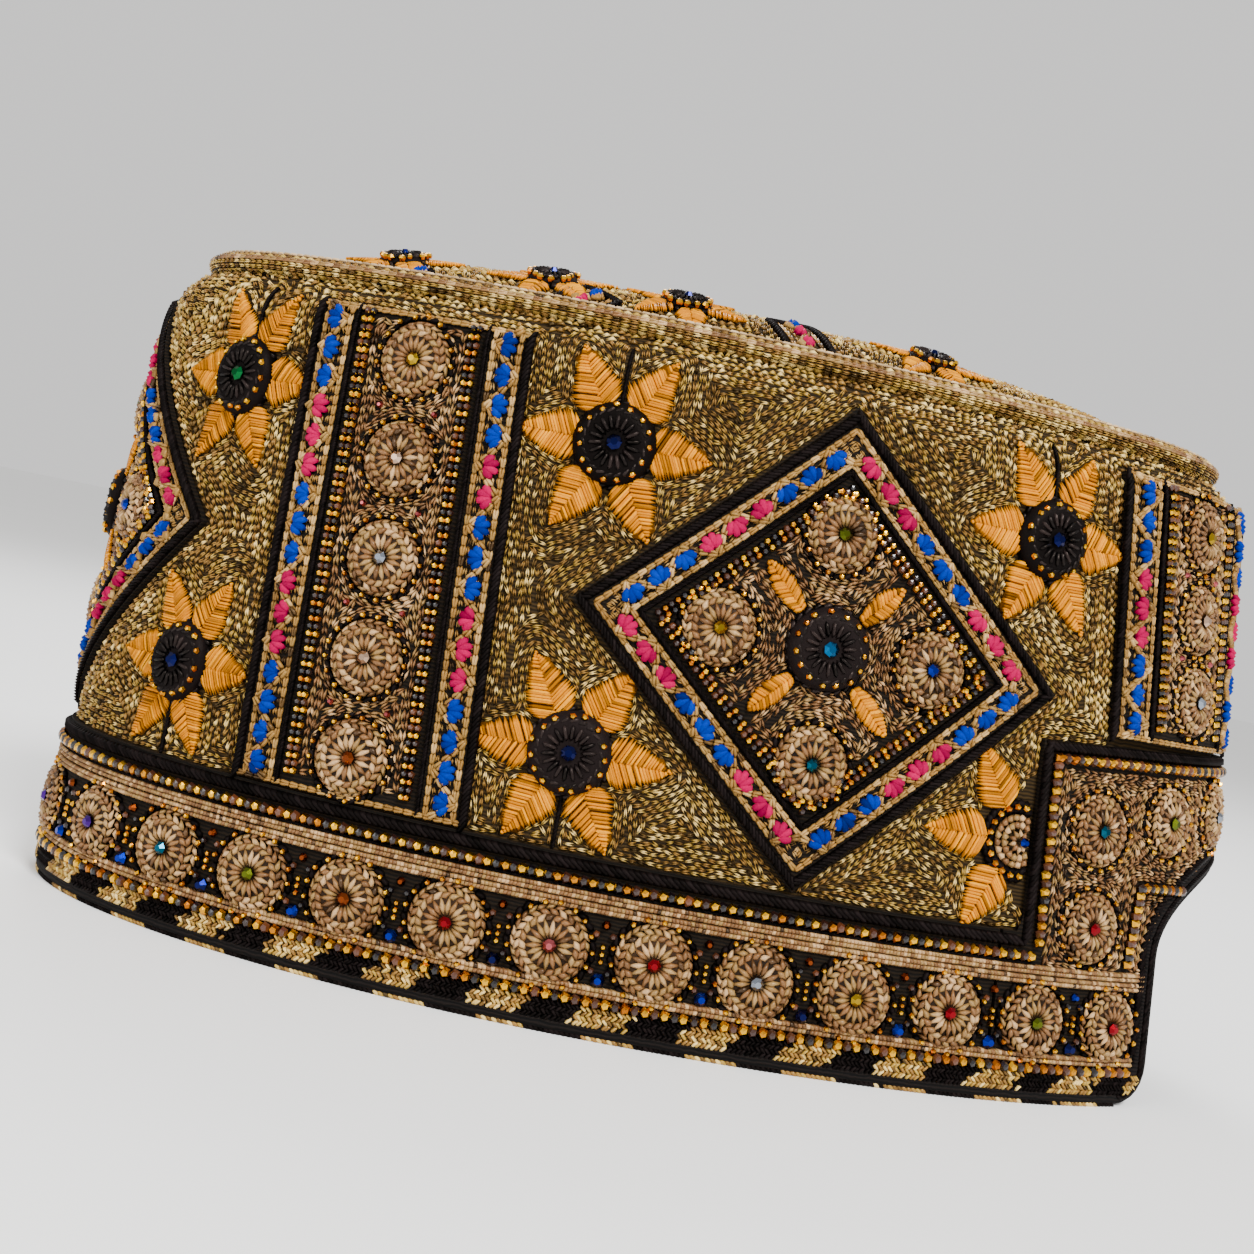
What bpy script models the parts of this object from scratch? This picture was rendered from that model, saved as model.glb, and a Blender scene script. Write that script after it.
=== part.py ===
"""Embroidered cap with an arched front notch, standing on its rim.

Metres, Z up, the notch faces -Y, the wearer's right side faces -X. The wall is unrolled into a
flat pattern: s runs round the cap from the front centre, h up the wall and d out of its face.
Every trim is shaped flat in that pattern and then wrapped onto the wall. The lengths in the
pattern are in pitches, the spacing of the rim rosettes.
"""
import math

import bmesh
import bpy
import numpy as np
from mathutils import Vector

# Size of the whole cap
PITCH = 0.018
FRONT_REACH = 6.925
BACK_REACH = 6.250
HALF_WIDTH = 3.067
FRONT_TAPER = 0.817
BACK_TAPER = 0.280
WIDTH_TAPER = 0.380
SIDE_BULGE = 0.020
FRONT_ROUNDNESS = 2.029
BACK_ROUNDNESS = 1.933
WALL_HEIGHT = 6.742
SHOULDER_RADIUS = 0.464
SHOULDER_TURN = 0.96
HALF_ROUND = 15.5
CROWN_RISE = 0.66
CROWN_POWER = 4.0
BOX_CENTRE_SHIFT = 0.0037

# Thicknesses and gaps, in metres
CLOTH = 0.0024
GAP = 0.00035
BINDING_SKIN = 0.0010
BINDING_PROUD = 0.0014
BINDING_LEG = 0.0040
NOTCH_LEG = 0.0020
TRIM_THICK = 0.0010
SEAM_GAP = 0.0005
PIPING_RADIUS = 0.0017
ROSETTE_RISE = 0.0022
BOSS_RISE = 0.0034
PETAL_RISE = 0.0012

# Layout of the pattern, in pitches
NOTCH_HALF = 2.15
NOTCH_JAMB = 1.55
NOTCH_TOP = 2.60
NOTCH_CORNER = 0.35
BAND_TOP = 1.68
RIM_ROSETTE = 0.81
PANEL_HALF = 4.00
PANEL_STEP = 0.26
PANEL_DEPTH = 1.02
PANEL_CROWN = 0.13
PANEL_COLUMN = 0.82
PANEL_ROW = 0.50
PANEL_ROW_SAG = 0.32
STRIP_INSET = 0.282
BAND_CLEAR = 0.055
BAND_TOP_INSET = 0.44
ROSETTE_RADIUS = 0.40
BOSS_RADIUS = 0.34
PETAL_HOLE = 0.42
PETAL_TIP = 0.91
FIRST_RIM_ROSETTE = 2.78
LAST_RIM_GAP = 0.56
BACK_PULL = 0.24
ROSETTE_SIDES = 10
BOSS_SIDES = 10

# What follows from the sizes above
RIM_SPLIT = PANEL_HALF + PANEL_STEP
PANEL_TOP = NOTCH_TOP + PANEL_DEPTH
STRIP_TOP = WALL_HEIGHT - STRIP_INSET
SHOULDER = WALL_HEIGHT - SHOULDER_RADIUS
FIELD_MIDDLE = (BAND_TOP + STRIP_TOP) / 2
FIELD_HALF = (STRIP_TOP - BAND_TOP) / 2

# Node stations round the cap: dense at the tight ends, sparse along the flat sides
DENSE_STEP = 0.34
SPARSE_STEP = 0.86
TIGHT_END = 2.8

# One row for each upright band: share of the way round from front to back, lean per pitch, half
# width, what its foot stands on, its rosettes and how far the first one is from the foot
BANDS = (
    {"name": "side_band", "round": 0.7187, "lean": 0.06, "half": 1.20, "foot": BAND_TOP,
     "rosettes": 5, "first": 0.385},
    {"name": "front_band", "round": 0.1181, "lean": 0.04, "half": 1.30,
     "foot": PANEL_TOP + PANEL_CROWN, "rosettes": 3, "first": 0.475},
)
# One row for each diamond: signed share of the way round, half width
DIAMONDS = (
    {"name": "diamond_right", "round": 0.4226, "half": 2.62},
    {"name": "diamond_left", "round": -0.4226, "half": 2.62},
    {"name": "diamond_back", "round": 1.0, "half": 2.20},
)
DIAMOND_CLEAR = 0.03
DIAMOND_ROSETTE_OUT = 1.12
# One row for each flower, on both sides of the cap: share of the way round, share of the way from
# the field's middle to its edge, width share
FLOWERS = (
    {"round": 0.5826, "up": 0.64, "wide": 1.0},
    {"round": 0.5755, "up": -0.61, "wide": 1.0},
    {"round": 0.2677, "up": 0.64, "wide": 0.97},
    {"round": 0.8555, "up": 0.64, "wide": 0.84},
    {"round": 0.8516, "up": -0.60, "wide": 0.84},
    {"round": 0.2697, "up": -0.63, "wide": 1.0},
)
# Flowers on the crown: share of the way round and share of the way out from the middle
CROWN_FLOWERS = (
    {"round": 0.2774, "out": 0.70},
    {"round": 0.5742, "out": 0.68},
    {"round": 0.7290, "out": 0.70},
    {"round": 0.8839, "out": 0.76},
)
CROWN_FLOWER_SCALE = 0.66
# Edge lines of the wall's mesh: shares of its height, and shares of the shoulder below its top
WALL_LEVELS = (0.33, 0.68)
SHOULDER_LEVELS = (1.0, 0.52, 0.18)
LINING_LEVELS = (0.01, 0.41, 1.06)
BEND_LEVELS = (WALL_HEIGHT * 0.80, SHOULDER)

TABLE_POINTS = 721
TABLE_ROWS = 90


def superellipse(h):
    """Half outline of the wall at height h, from the front tip round to the back tip."""
    v = h / WALL_HEIGHT
    inset = 0.0
    if h > WALL_HEIGHT - SHOULDER_RADIUS:
        q = (h - WALL_HEIGHT + SHOULDER_RADIUS) / SHOULDER_RADIUS
        inset = SHOULDER_RADIUS * (1 - math.sqrt(max(0.0, 1 - q * q * SHOULDER_TURN)))
    swell = SIDE_BULGE * 4 * v * (1 - v) - inset
    t = np.linspace(0, math.pi, TABLE_POINTS)
    c = np.cos(t)
    n = np.where(c >= 0, FRONT_ROUNDNESS, BACK_ROUNDNESS)
    front = FRONT_REACH - FRONT_TAPER * v + swell
    back = BACK_REACH - BACK_TAPER * v + swell
    reach = np.where(c >= 0, front, back)
    x = reach * np.sign(c) * np.abs(c) ** (2 / n)
    y = (HALF_WIDTH - WIDTH_TAPER * v + swell) * np.abs(np.sin(t)) ** (2 / n)
    y[-1] = 0.0
    return x, y


def outline_table():
    """Points of the half outline at even shares of its length, one row for each height."""
    heights = WALL_HEIGHT * np.sin(np.linspace(0, math.pi / 2, TABLE_ROWS))
    rows = []
    for h in heights:
        x, y = superellipse(h)
        run = np.concatenate([[0], np.cumsum(np.hypot(np.diff(x), np.diff(y)))])
        share = np.linspace(0, run[-1], TABLE_POINTS)
        rows.append(np.stack([np.interp(share, run, x), np.interp(share, run, y)], 1))
    return heights, np.array(rows)


HEIGHTS, TABLE = outline_table()


def wall_point(s, h):
    """Point of the wall's face at place s and height h, in metres."""
    s = (s + HALF_ROUND) % (2 * HALF_ROUND) - HALF_ROUND
    side = -1.0 if s > 0 else 1.0
    column = abs(s) / HALF_ROUND * (TABLE_POINTS - 1)
    j = min(int(column), TABLE_POINTS - 2)
    level = min(max(h, 0.0), WALL_HEIGHT)
    i = min(int(np.searchsorted(HEIGHTS, level, side="right")) - 1, TABLE_ROWS - 2)
    a = (level - HEIGHTS[i]) / (HEIGHTS[i + 1] - HEIGHTS[i])
    b = column - j
    low = TABLE[i, j] * (1 - b) + TABLE[i, j + 1] * b
    high = TABLE[i + 1, j] * (1 - b) + TABLE[i + 1, j + 1] * b
    x, y = low * (1 - a) + high * a
    return Vector((side * y * PITCH, -x * PITCH + BOX_CENTRE_SHIFT, h * PITCH))


def wall_normal(s, h):
    """Outward direction of the wall, level near the rim and turning up over the shoulder."""
    e = 0.04
    level = min(max(h, e), WALL_HEIGHT - e)
    along = wall_point(s + e, level) - wall_point(s - e, level)
    up = wall_point(s, level + e) - wall_point(s, level - e)
    n = up.cross(along)
    n.normalize()
    ease = min(max((h - 0.5) / 1.0, 0.0), 1.0)
    n.z *= ease
    return n.normalized()


def on_wall(s, h, d):
    """Wraps a pattern point onto the wall. s and h in pitches, d in metres."""
    return wall_point(s, h) + wall_normal(s, h) * d


def crown_middle():
    """Middle of the crown's outline, in metres."""
    front = wall_point(0.0, WALL_HEIGHT)
    back = wall_point(HALF_ROUND, WALL_HEIGHT)
    return (front + back) / 2


CROWN_MIDDLE = crown_middle()


def crown_point(s, r):
    """Point of the crown's face: s round the cap, r from 0 in the middle to 1 at the seam."""
    edge = wall_point(s, WALL_HEIGHT)
    ahead = wall_point(s + 0.05, WALL_HEIGHT) - wall_point(s - 0.05, WALL_HEIGHT)
    inward = ahead.cross(Vector((0, 0, 1))).normalized()
    edge = edge + inward * SEAM_GAP
    p = CROWN_MIDDLE + (edge - CROWN_MIDDLE) * r
    p.z = (WALL_HEIGHT + CROWN_RISE * (1 - r ** CROWN_POWER)) * PITCH
    return p


def crown_normal(s, r):
    """Outward direction of the crown."""
    if r < 0.02:
        return Vector((0, 0, 1))
    low = max(r - 0.02, 0.0)
    high = min(r + 0.02, 1.0)
    out = crown_point(s, high) - crown_point(s, low)
    along = crown_point(s + 0.05, r) - crown_point(s - 0.05, r)
    n = out.cross(along)
    if n.z < 0:
        n.negate()
    return n.normalized()


def crown_frame(s, r):
    """Point, sideways, outward and normal directions for a trim on the crown."""
    p = crown_point(s, r)
    n = crown_normal(s, r)
    out = (crown_point(s, min(r + 0.02, 1.0)) - crown_point(s, r - 0.02)).normalized()
    return p, out.cross(n).normalized(), out, n


def stations(start, end):
    """Places round the cap between start and end, closer together at the tight ends."""
    grid = [0.0]
    while grid[-1] < HALF_ROUND - 0.01:
        s = grid[-1]
        tight = s < TIGHT_END or s > HALF_ROUND - TIGHT_END
        grid.append(s + (DENSE_STEP if tight else SPARSE_STEP))
    scale = HALF_ROUND / grid[-1]
    half = [g * scale for g in grid]
    ring = half + [2 * HALF_ROUND - g for g in reversed(half[:-1])]
    ring = [g - 2 * HALF_ROUND for g in ring[:-1]] + ring + [g + 2 * HALF_ROUND for g in ring[1:]]
    return [start] + [g for g in ring if start + 0.06 < g < end - 0.06] + [end]


def collection(name):
    """A new collection in the scene."""
    col = bpy.data.collections.new(name)
    bpy.context.scene.collection.children.link(col)
    return col


def material(name, colour, roughness, metallic=0.0):
    """A plain Principled material."""
    mat = bpy.data.materials.new(name)
    mat.use_nodes = True
    mat.diffuse_color = (*colour, 1.0)
    shader = mat.node_tree.nodes["Principled BSDF"]
    shader.inputs["Base Color"].default_value = (*colour, 1.0)
    shader.inputs["Roughness"].default_value = roughness
    shader.inputs["Metallic"].default_value = metallic
    return mat


def finish_mesh(bm, name, mat, col):
    """Turns a bmesh into a named object with its faces out."""
    bmesh.ops.remove_doubles(bm, verts=bm.verts, dist=1e-6)
    bmesh.ops.triangulate(bm, faces=bm.faces)
    bmesh.ops.recalc_face_normals(bm, faces=bm.faces)
    mesh = bpy.data.meshes.new(name)
    bm.to_mesh(mesh)
    bm.free()
    obj = bpy.data.objects.new(name, mesh)
    col.objects.link(obj)
    if mat is not None:
        mesh.materials.append(mat)
    return obj


def skin(sections, name, mat, col):
    """Lofts closed sections into a ring."""
    bm = bmesh.new()
    rows = [[bm.verts.new(p) for p in section] for section in sections]
    count = len(rows)
    width = len(rows[0])
    for i in range(count):
        a = rows[i]
        b = rows[(i + 1) % count]
        for j in range(width):
            k = (j + 1) % width
            bm.faces.new((a[j], a[k], b[k], b[j]))
    return finish_mesh(bm, name, mat, col)


def prism(outline, low, high, hole=None):
    """A flat plate in the pattern: outline in pitches, low and high in metres."""
    bm = bmesh.new()
    edges = []
    for loop in [outline] + ([hole] if hole else []):
        verts = [bm.verts.new((s, h, low)) for s, h in loop]
        edges += [bm.edges.new((verts[i], verts[(i + 1) % len(verts)])) for i in range(len(verts))]
    if hole:
        bmesh.ops.triangle_fill(bm, use_beauty=True, use_dissolve=False, edges=edges)
    else:
        bmesh.ops.contextual_create(bm, geom=edges)
    made = bmesh.ops.extrude_face_region(bm, geom=bm.faces[:])
    top = [v for v in made["geom"] if isinstance(v, bmesh.types.BMVert)]
    for v in top:
        v.co.z = high
    bmesh.ops.recalc_face_normals(bm, faces=bm.faces)
    return bm


def cut_at(bm, places, axis=0):
    """Cuts a flat plate across at the given places, so that it bends there when wrapped."""
    normal = (1, 0, 0) if axis == 0 else (0, 1, 0)
    for place in places:
        co = (place, 0, 0) if axis == 0 else (0, place, 0)
        bmesh.ops.bisect_plane(bm, geom=bm.verts[:] + bm.edges[:] + bm.faces[:], dist=1e-7,
                               plane_co=co, plane_no=normal)


def add_dome(bm, s, h, radius, base, rise, sides, waist=0.66, shoulder=0.80):
    """Adds a low closed dome with its foot at base to a flat bmesh."""
    rings = ((1.0, 0.0), (waist, shoulder))
    rows = []
    for share, lift in rings:
        row = []
        for k in range(sides):
            a = 2 * math.pi * k / sides
            p = (s + radius * share * math.cos(a), h + radius * share * math.sin(a), base + rise * lift)
            row.append(bm.verts.new(p))
        rows.append(row)
    top = bm.verts.new((s, h, base + rise))
    bm.faces.new(list(reversed(rows[0])))
    for low, high in zip(rows, rows[1:]):
        for k in range(sides):
            m = (k + 1) % sides
            bm.faces.new((low[k], low[m], high[m], high[k]))
    for k in range(sides):
        bm.faces.new((rows[-1][k], rows[-1][(k + 1) % sides], top))


def flat_object(bm, name, col):
    """A working object that is still flat."""
    mesh = bpy.data.meshes.new(name)
    bm.to_mesh(mesh)
    bm.free()
    obj = bpy.data.objects.new(name, mesh)
    col.objects.link(obj)
    return obj


def boolean(obj, tool, operation):
    """Applies an exact Boolean and returns the result as a bmesh."""
    mod = obj.modifiers.new(operation, "BOOLEAN")
    mod.operation = operation
    mod.solver = "EXACT"
    mod.object = tool
    graph = bpy.context.evaluated_depsgraph_get()
    result = bpy.data.meshes.new_from_object(obj.evaluated_get(graph))
    bm = bmesh.new()
    bm.from_mesh(result)
    bpy.data.meshes.remove(result)
    obj.modifiers.remove(mod)
    return bm


# Flat patterns are joined at this enlargement of d, so that thin plates and pitches match in size
FLAT_D = 1.0 / PITCH


def plate_with_domes(name, outline, cuts, levels, domes, mat, col, work):
    """A trim plate with raised rosettes fused to it, wrapped onto the wall."""
    base = GAP * FLAT_D
    top = (GAP + TRIM_THICK) * FLAT_D
    bm = prism(outline, base, top)
    cut_at(bm, cuts)
    cut_at(bm, levels, axis=1)
    plate = flat_object(bm, name + "_flat", work)
    bm = bmesh.new()
    foot = (GAP + TRIM_THICK * 0.5) * FLAT_D
    rise = (ROSETTE_RISE + TRIM_THICK * 0.5) * FLAT_D
    for s, h in domes:
        add_dome(bm, s, h, ROSETTE_RADIUS, foot, rise, ROSETTE_SIDES)
    tool = flat_object(bm, name + "_rosettes", work)
    joined = boolean(plate, tool, "UNION")
    for v in joined.verts:
        v.co = on_wall(v.co.x, v.co.y, v.co.z / FLAT_D)
    return finish_mesh(joined, name, mat, col)


def notch_edge():
    """Edge of the notch on the right side, from the rim up to the top middle, in pitches."""
    rim = wall_bottom()
    pts = []
    for k in range(4):
        a = math.pi / 2 * k / 3
        pts.append((NOTCH_HALF + NOTCH_CORNER * (1 - math.sin(a)),
                    rim + NOTCH_CORNER * (1 - math.cos(a))))
    pts.append((NOTCH_HALF, (rim + NOTCH_CORNER + NOTCH_JAMB) / 2))
    for k in range(9):
        a = math.pi / 2 * k / 8
        pts.append((NOTCH_HALF * math.cos(a), NOTCH_JAMB + (NOTCH_TOP - NOTCH_JAMB) * math.sin(a)))
    return pts


def wall_bottom():
    """Height of the cloth's lower edge, in pitches, above the binding's underside."""
    return (BINDING_SKIN + GAP) / PITCH


def build_wall(mat, col, work):
    """The cloth wall, a closed shell with the notch cut out."""
    bottom = wall_bottom()
    middle = [WALL_HEIGHT * share for share in WALL_LEVELS]
    bend = [WALL_HEIGHT - SHOULDER_RADIUS * share for share in SHOULDER_LEVELS]
    lining = [WALL_HEIGHT - SHOULDER_RADIUS * share for share in LINING_LEVELS]
    outer = [bottom] + middle + bend + [WALL_HEIGHT]
    inner = lining + list(reversed(middle)) + [bottom]
    sections = []
    for s in stations(-HALF_ROUND, HALF_ROUND)[:-1]:
        face = [on_wall(s, h, 0.0) for h in outer]
        back = [on_wall(s, h, -CLOTH) for h in inner]
        sections.append(face + back)
    wall = skin(sections, "cap_wall", mat, work)
    right = notch_edge()
    left = [(-s, h) for s, h in reversed(right[:-1])]
    drop = (right[0][0], -0.6)
    outline = [drop] + right + left + [(-drop[0], drop[1])]
    bm = prism(outline, -CLOTH * 3 * FLAT_D, CLOTH * 3 * FLAT_D)
    cut_at(bm, stations(-NOTCH_HALF - 0.4, NOTCH_HALF + 0.4)[1:-1])
    for v in bm.verts:
        v.co = on_wall(v.co.x, v.co.y, v.co.z / FLAT_D)
    cutter = finish_mesh(bm, "notch_cutter", None, work)
    cutter.display_type = "WIRE"
    cutter.hide_render = True
    cut = boolean(wall, cutter, "DIFFERENCE")
    return finish_mesh(cut, "cap_wall_cloth", mat, col)


def build_crown(mat, col):
    """The padded crown, a low cushion closed underneath."""
    ring = stations(-HALF_ROUND, HALF_ROUND)[:-1]
    shares = (1.0, 0.90, 0.74, 0.48)
    bm = bmesh.new()
    faces = []
    for depth in (0.0, -CLOTH):
        rows = []
        for r in shares:
            rows.append([bm.verts.new(crown_point(s, r) + crown_normal(s, r) * depth) for s in ring])
        top = CROWN_MIDDLE.copy()
        top.z = (WALL_HEIGHT + CROWN_RISE) * PITCH + depth
        faces.append((rows, bm.verts.new(top)))
    for rows, top in faces:
        for a, b in zip(rows, rows[1:]):
            for k in range(len(ring)):
                m = (k + 1) % len(ring)
                bm.faces.new((a[k], a[m], b[m], b[k]))
        for k in range(len(ring)):
            bm.faces.new((rows[-1][k], rows[-1][(k + 1) % len(ring)], top))
    outer = faces[0][0][0]
    inner = faces[1][0][0]
    for k in range(len(ring)):
        m = (k + 1) % len(ring)
        bm.faces.new((outer[k], outer[m], inner[m], inner[k]))
    return finish_mesh(bm, "crown_cloth", mat, col)


def build_piping(mat, col):
    """The cord that covers the seam between wall and crown."""
    sections = []
    for s in stations(-HALF_ROUND, HALF_ROUND)[:-1]:
        up = (wall_normal(s, WALL_HEIGHT) + crown_normal(s, 1.0)).normalized()
        ahead = (wall_point(s + 0.05, WALL_HEIGHT) - wall_point(s - 0.05, WALL_HEIGHT)).normalized()
        side = ahead.cross(up).normalized()
        centre = (wall_point(s, WALL_HEIGHT) + crown_point(s, 1.0)) / 2 + up * (PIPING_RADIUS + GAP)
        ring = []
        for k in range(5):
            a = math.pi * 2 * k / 5 + math.pi / 2
            ring.append(centre + (side * math.cos(a) * 1.5 + up * math.sin(a)) * PIPING_RADIUS)
        sections.append(ring)
    return skin(sections, "crown_seam_piping", mat, col)


def binding_path():
    """Edge of the cloth all the way round: place, inward direction and leg length."""
    right = notch_edge()
    rim = wall_bottom()
    path = []
    for s in stations(right[0][0] + 0.12, 2 * HALF_ROUND - right[0][0] - 0.12):
        path.append(((s, rim), (0.0, 1.0), BINDING_LEG))
    loop = [(-s, h) for s, h in right] + [(s, h) for s, h in reversed(right[:-1])]
    for i, (s, h) in enumerate(loop):
        before = loop[max(i - 1, 0)]
        after = loop[min(i + 1, len(loop) - 1)]
        t = Vector((after[0] - before[0], after[1] - before[1])).normalized()
        if i in (0, len(loop) - 1):
            t = Vector((1.0, 0.0))
        share = min(max((h - rim) / NOTCH_CORNER, 0.0), 1.0)
        leg = BINDING_LEG + (NOTCH_LEG - BINDING_LEG) * share
        path.append(((s + 2 * HALF_ROUND, h), (-t.y, t.x), leg))
    return path


def build_binding(mat, col):
    """The bound edge, folded over the cloth along the rim and round the notch."""
    proud = BINDING_PROUD + GAP
    behind = -CLOTH - GAP - BINDING_SKIN
    low = -(GAP + BINDING_SKIN)
    sections = []
    for (s, h), (ns, nh), leg in binding_path():
        profile = ((low, behind), (leg, behind), (leg, -CLOTH - GAP), (-GAP, -CLOTH - GAP),
                   (-GAP, GAP), (leg, GAP), (leg, proud), (low, proud))
        ring = []
        for t, d in profile:
            ring.append(on_wall(s + ns * t / PITCH, h + nh * t / PITCH, d))
        sections.append(ring)
    return skin(sections, "rim_binding", mat, col)


def rim_places():
    """Places of the rim rosettes on one side, a pitch apart, with what is left over at the back."""
    last = HALF_ROUND - LAST_RIM_GAP
    count = int(last - FIRST_RIM_ROSETTE) + 1
    spare = last - (FIRST_RIM_ROSETTE + count - 1)
    return [FIRST_RIM_ROSETTE + k + spare * BACK_PULL ** (count - 1 - k) for k in range(count)]


def build_rim_band(mat, col, work):
    """The rosette band round the rim, from one side of the front panel to the other."""
    start = RIM_SPLIT + GAP / PITCH
    end = 2 * HALF_ROUND - start
    bottom = wall_bottom() + (BINDING_LEG + GAP) / PITCH
    outline = [(start, bottom), (end, bottom), (end, BAND_TOP), (start, BAND_TOP)]
    side = [s for s in rim_places() if s > start + ROSETTE_RADIUS]
    domes = [(s, RIM_ROSETTE) for s in side] + [(2 * HALF_ROUND - s, RIM_ROSETTE) for s in side]
    cuts = stations(start, end)[1:-1]
    return plate_with_domes("rim_rosette_band", outline, cuts, (), domes, mat, col, work)


def panel_rosettes():
    """Rosettes of the arched panel on the right side and in the middle."""
    last = PANEL_HALF - PANEL_COLUMN
    top = PANEL_TOP - PANEL_ROW
    places = [(last * k / 3, top - PANEL_ROW_SAG * (k / 3) ** 2) for k in range(4)]
    places.append((last, (RIM_ROSETTE + top - PANEL_ROW_SAG) / 2))
    places += [(s, RIM_ROSETTE) for s in rim_places() if s < RIM_SPLIT - ROSETTE_RADIUS]
    return places


def build_front_panel(mat, col, work):
    """The arched panel that frames the notch."""
    bottom = wall_bottom() + (BINDING_LEG + GAP) / PITCH
    right = notch_edge()
    clear = (NOTCH_LEG + GAP * 1.6) / PITCH
    foot = NOTCH_HALF + NOTCH_CORNER
    inner = [(foot + clear - 0.09, bottom), (NOTCH_HALF + clear + 0.04, NOTCH_CORNER + 0.27)]
    for i in range(4, len(right)):
        s, h = right[i]
        before = right[i - 1]
        after = right[min(i + 1, len(right) - 1)]
        t = Vector((after[0] - before[0], after[1] - before[1])).normalized()
        if i == len(right) - 1:
            t = Vector((-1.0, 0.0))
        inner.append((s + t.y * clear, h - t.x * clear))
    side = RIM_SPLIT - GAP / PITCH
    outer = [(side, bottom), (side, BAND_TOP), (PANEL_HALF, BAND_TOP)]
    for k in range(6):
        s = PANEL_HALF * (1 - k / 5)
        outer.append((s, PANEL_TOP + PANEL_CROWN * (1 - (s / PANEL_HALF) ** 2)))
    half = list(reversed(outer)) + inner
    outline = half + [(-s, h) for s, h in reversed(half[1:-1])]
    cuts = stations(-RIM_SPLIT, RIM_SPLIT)[1:-1]
    right_domes = panel_rosettes()
    domes = right_domes + [(-s, h) for s, h in right_domes if s > 0]
    return plate_with_domes("front_arch_panel", outline, cuts, (), domes, mat, col, work)


def build_band(row, side, mat, col, work):
    """One upright band of rosettes between the fields."""
    def centre(h):
        return side * (row["round"] * HALF_ROUND + row["lean"] * (h - FIELD_MIDDLE))

    foot = row["foot"] + BAND_CLEAR
    half = row["half"]
    corners = ((-half, foot), (half, foot), (half, STRIP_TOP), (-half, STRIP_TOP))
    outline = [(centre(h) + s, h) for s, h in corners]
    heights = np.linspace(foot + row["first"], STRIP_TOP - BAND_TOP_INSET, row["rosettes"])
    domes = [(centre(h), h) for h in heights]
    low_s = min(s for s, _ in outline)
    high_s = max(s for s, _ in outline)
    cuts = stations(low_s, high_s)[1:-1]
    name = row["name"] + ("_right" if side > 0 else "_left")
    return plate_with_domes(name, outline, cuts, BEND_LEVELS, domes, mat, col, work)


def build_diamond(row, mat, boss_mat, col, work):
    """One diamond with four tan rosettes, and its dark middle boss as a piece of its own."""
    s0 = row["round"] * HALF_ROUND
    half = row["half"]
    tall = FIELD_HALF - DIAMOND_CLEAR
    outline = [(s0 + half, FIELD_MIDDLE), (s0, FIELD_MIDDLE + tall),
               (s0 - half, FIELD_MIDDLE), (s0, FIELD_MIDDLE - tall)]
    up = DIAMOND_ROSETTE_OUT
    across = up * half / DIAMONDS[0]["half"]
    domes = [(s0 + across, FIELD_MIDDLE), (s0 - across, FIELD_MIDDLE),
             (s0, FIELD_MIDDLE + up), (s0, FIELD_MIDDLE - up)]
    cuts = stations(s0 - half, s0 + half)[1:-1]
    plate_with_domes(row["name"], outline, cuts, BEND_LEVELS, domes, mat, col, work)
    bm = bmesh.new()
    add_dome(bm, s0, FIELD_MIDDLE, BOSS_RADIUS, GAP * 2 + TRIM_THICK, BOSS_RISE * 0.8, BOSS_SIDES)
    for v in bm.verts:
        v.co = on_wall(v.co.x, v.co.y, v.co.z)
    finish_mesh(bm, row["name"] + "_boss", boss_mat, col)


def petal_outline():
    """Outline of six pointed petals round a hole, in pitches about the flower's middle."""
    outer = []
    for k in range(6):
        for angle, r in ((-30, 0.50), (-17, 0.74), (0, PETAL_TIP), (17, 0.74)):
            a = math.radians(60 * k + angle)
            outer.append((r * math.cos(a), r * math.sin(a)))
    hole = []
    for k in range(6):
        a = math.radians(60 * k + 30)
        hole.append((PETAL_HOLE * math.cos(a), PETAL_HOLE * math.sin(a)))
    return outer, hole


def clip_flat(bm, limit):
    """Takes away what lies below the limit in x, and closes the cut."""
    bmesh.ops.bisect_plane(bm, geom=bm.verts[:] + bm.edges[:] + bm.faces[:], dist=1e-7,
                           plane_co=(limit, 0, 0), plane_no=(-1, 0, 0), clear_outer=True)
    bmesh.ops.holes_fill(bm, edges=[e for e in bm.edges if e.is_boundary], sides=0)


def build_flower(index, place, petal_mat, boss_mat, col, limit=None):
    """Six satin petals round a dark boss. place maps flower coordinates onto the cap."""
    outer, hole = petal_outline()
    petals = prism(outer, GAP, GAP + PETAL_RISE, hole)
    boss = bmesh.new()
    add_dome(boss, 0.0, 0.0, BOSS_RADIUS, GAP, BOSS_RISE, BOSS_SIDES)
    for bm, name, mat in ((petals, "petals_%02d", petal_mat), (boss, "flower_boss_%02d", boss_mat)):
        if limit is not None:
            clip_flat(bm, limit)
        for v in bm.verts:
            v.co = place(v.co.x, v.co.y, v.co.z)
        finish_mesh(bm, name % index, mat, col)


def build_flowers(petal_mat, boss_mat, col):
    """The flowers in the wall's fields and on the crown."""
    index = 0
    for row in FLOWERS:
        s0 = row["round"] * HALF_ROUND
        h0 = FIELD_MIDDLE + row["up"] * FIELD_HALF
        edge = PANEL_HALF + GAP / PITCH
        reaches = s0 - PETAL_TIP < edge and h0 - PETAL_TIP < PANEL_TOP
        for side in (1, -1):
            index += 1

            def place(x, y, d, side=side):
                return on_wall(side * (s0 + x * row["wide"]), h0 + y, d)

            build_flower(index, place, petal_mat, boss_mat, col, edge - s0 if reaches else None)
    for row in CROWN_FLOWERS:
        for side in (1, -1):
            index += 1
            p, across, out, n = crown_frame(side * row["round"] * HALF_ROUND, row["out"])

            def place(x, y, d, p=p, across=across, out=out, n=n):
                return p + (across * x + out * y) * (PITCH * CROWN_FLOWER_SCALE) + n * (d + GAP)

            build_flower(index, place, petal_mat, boss_mat, col)


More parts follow.
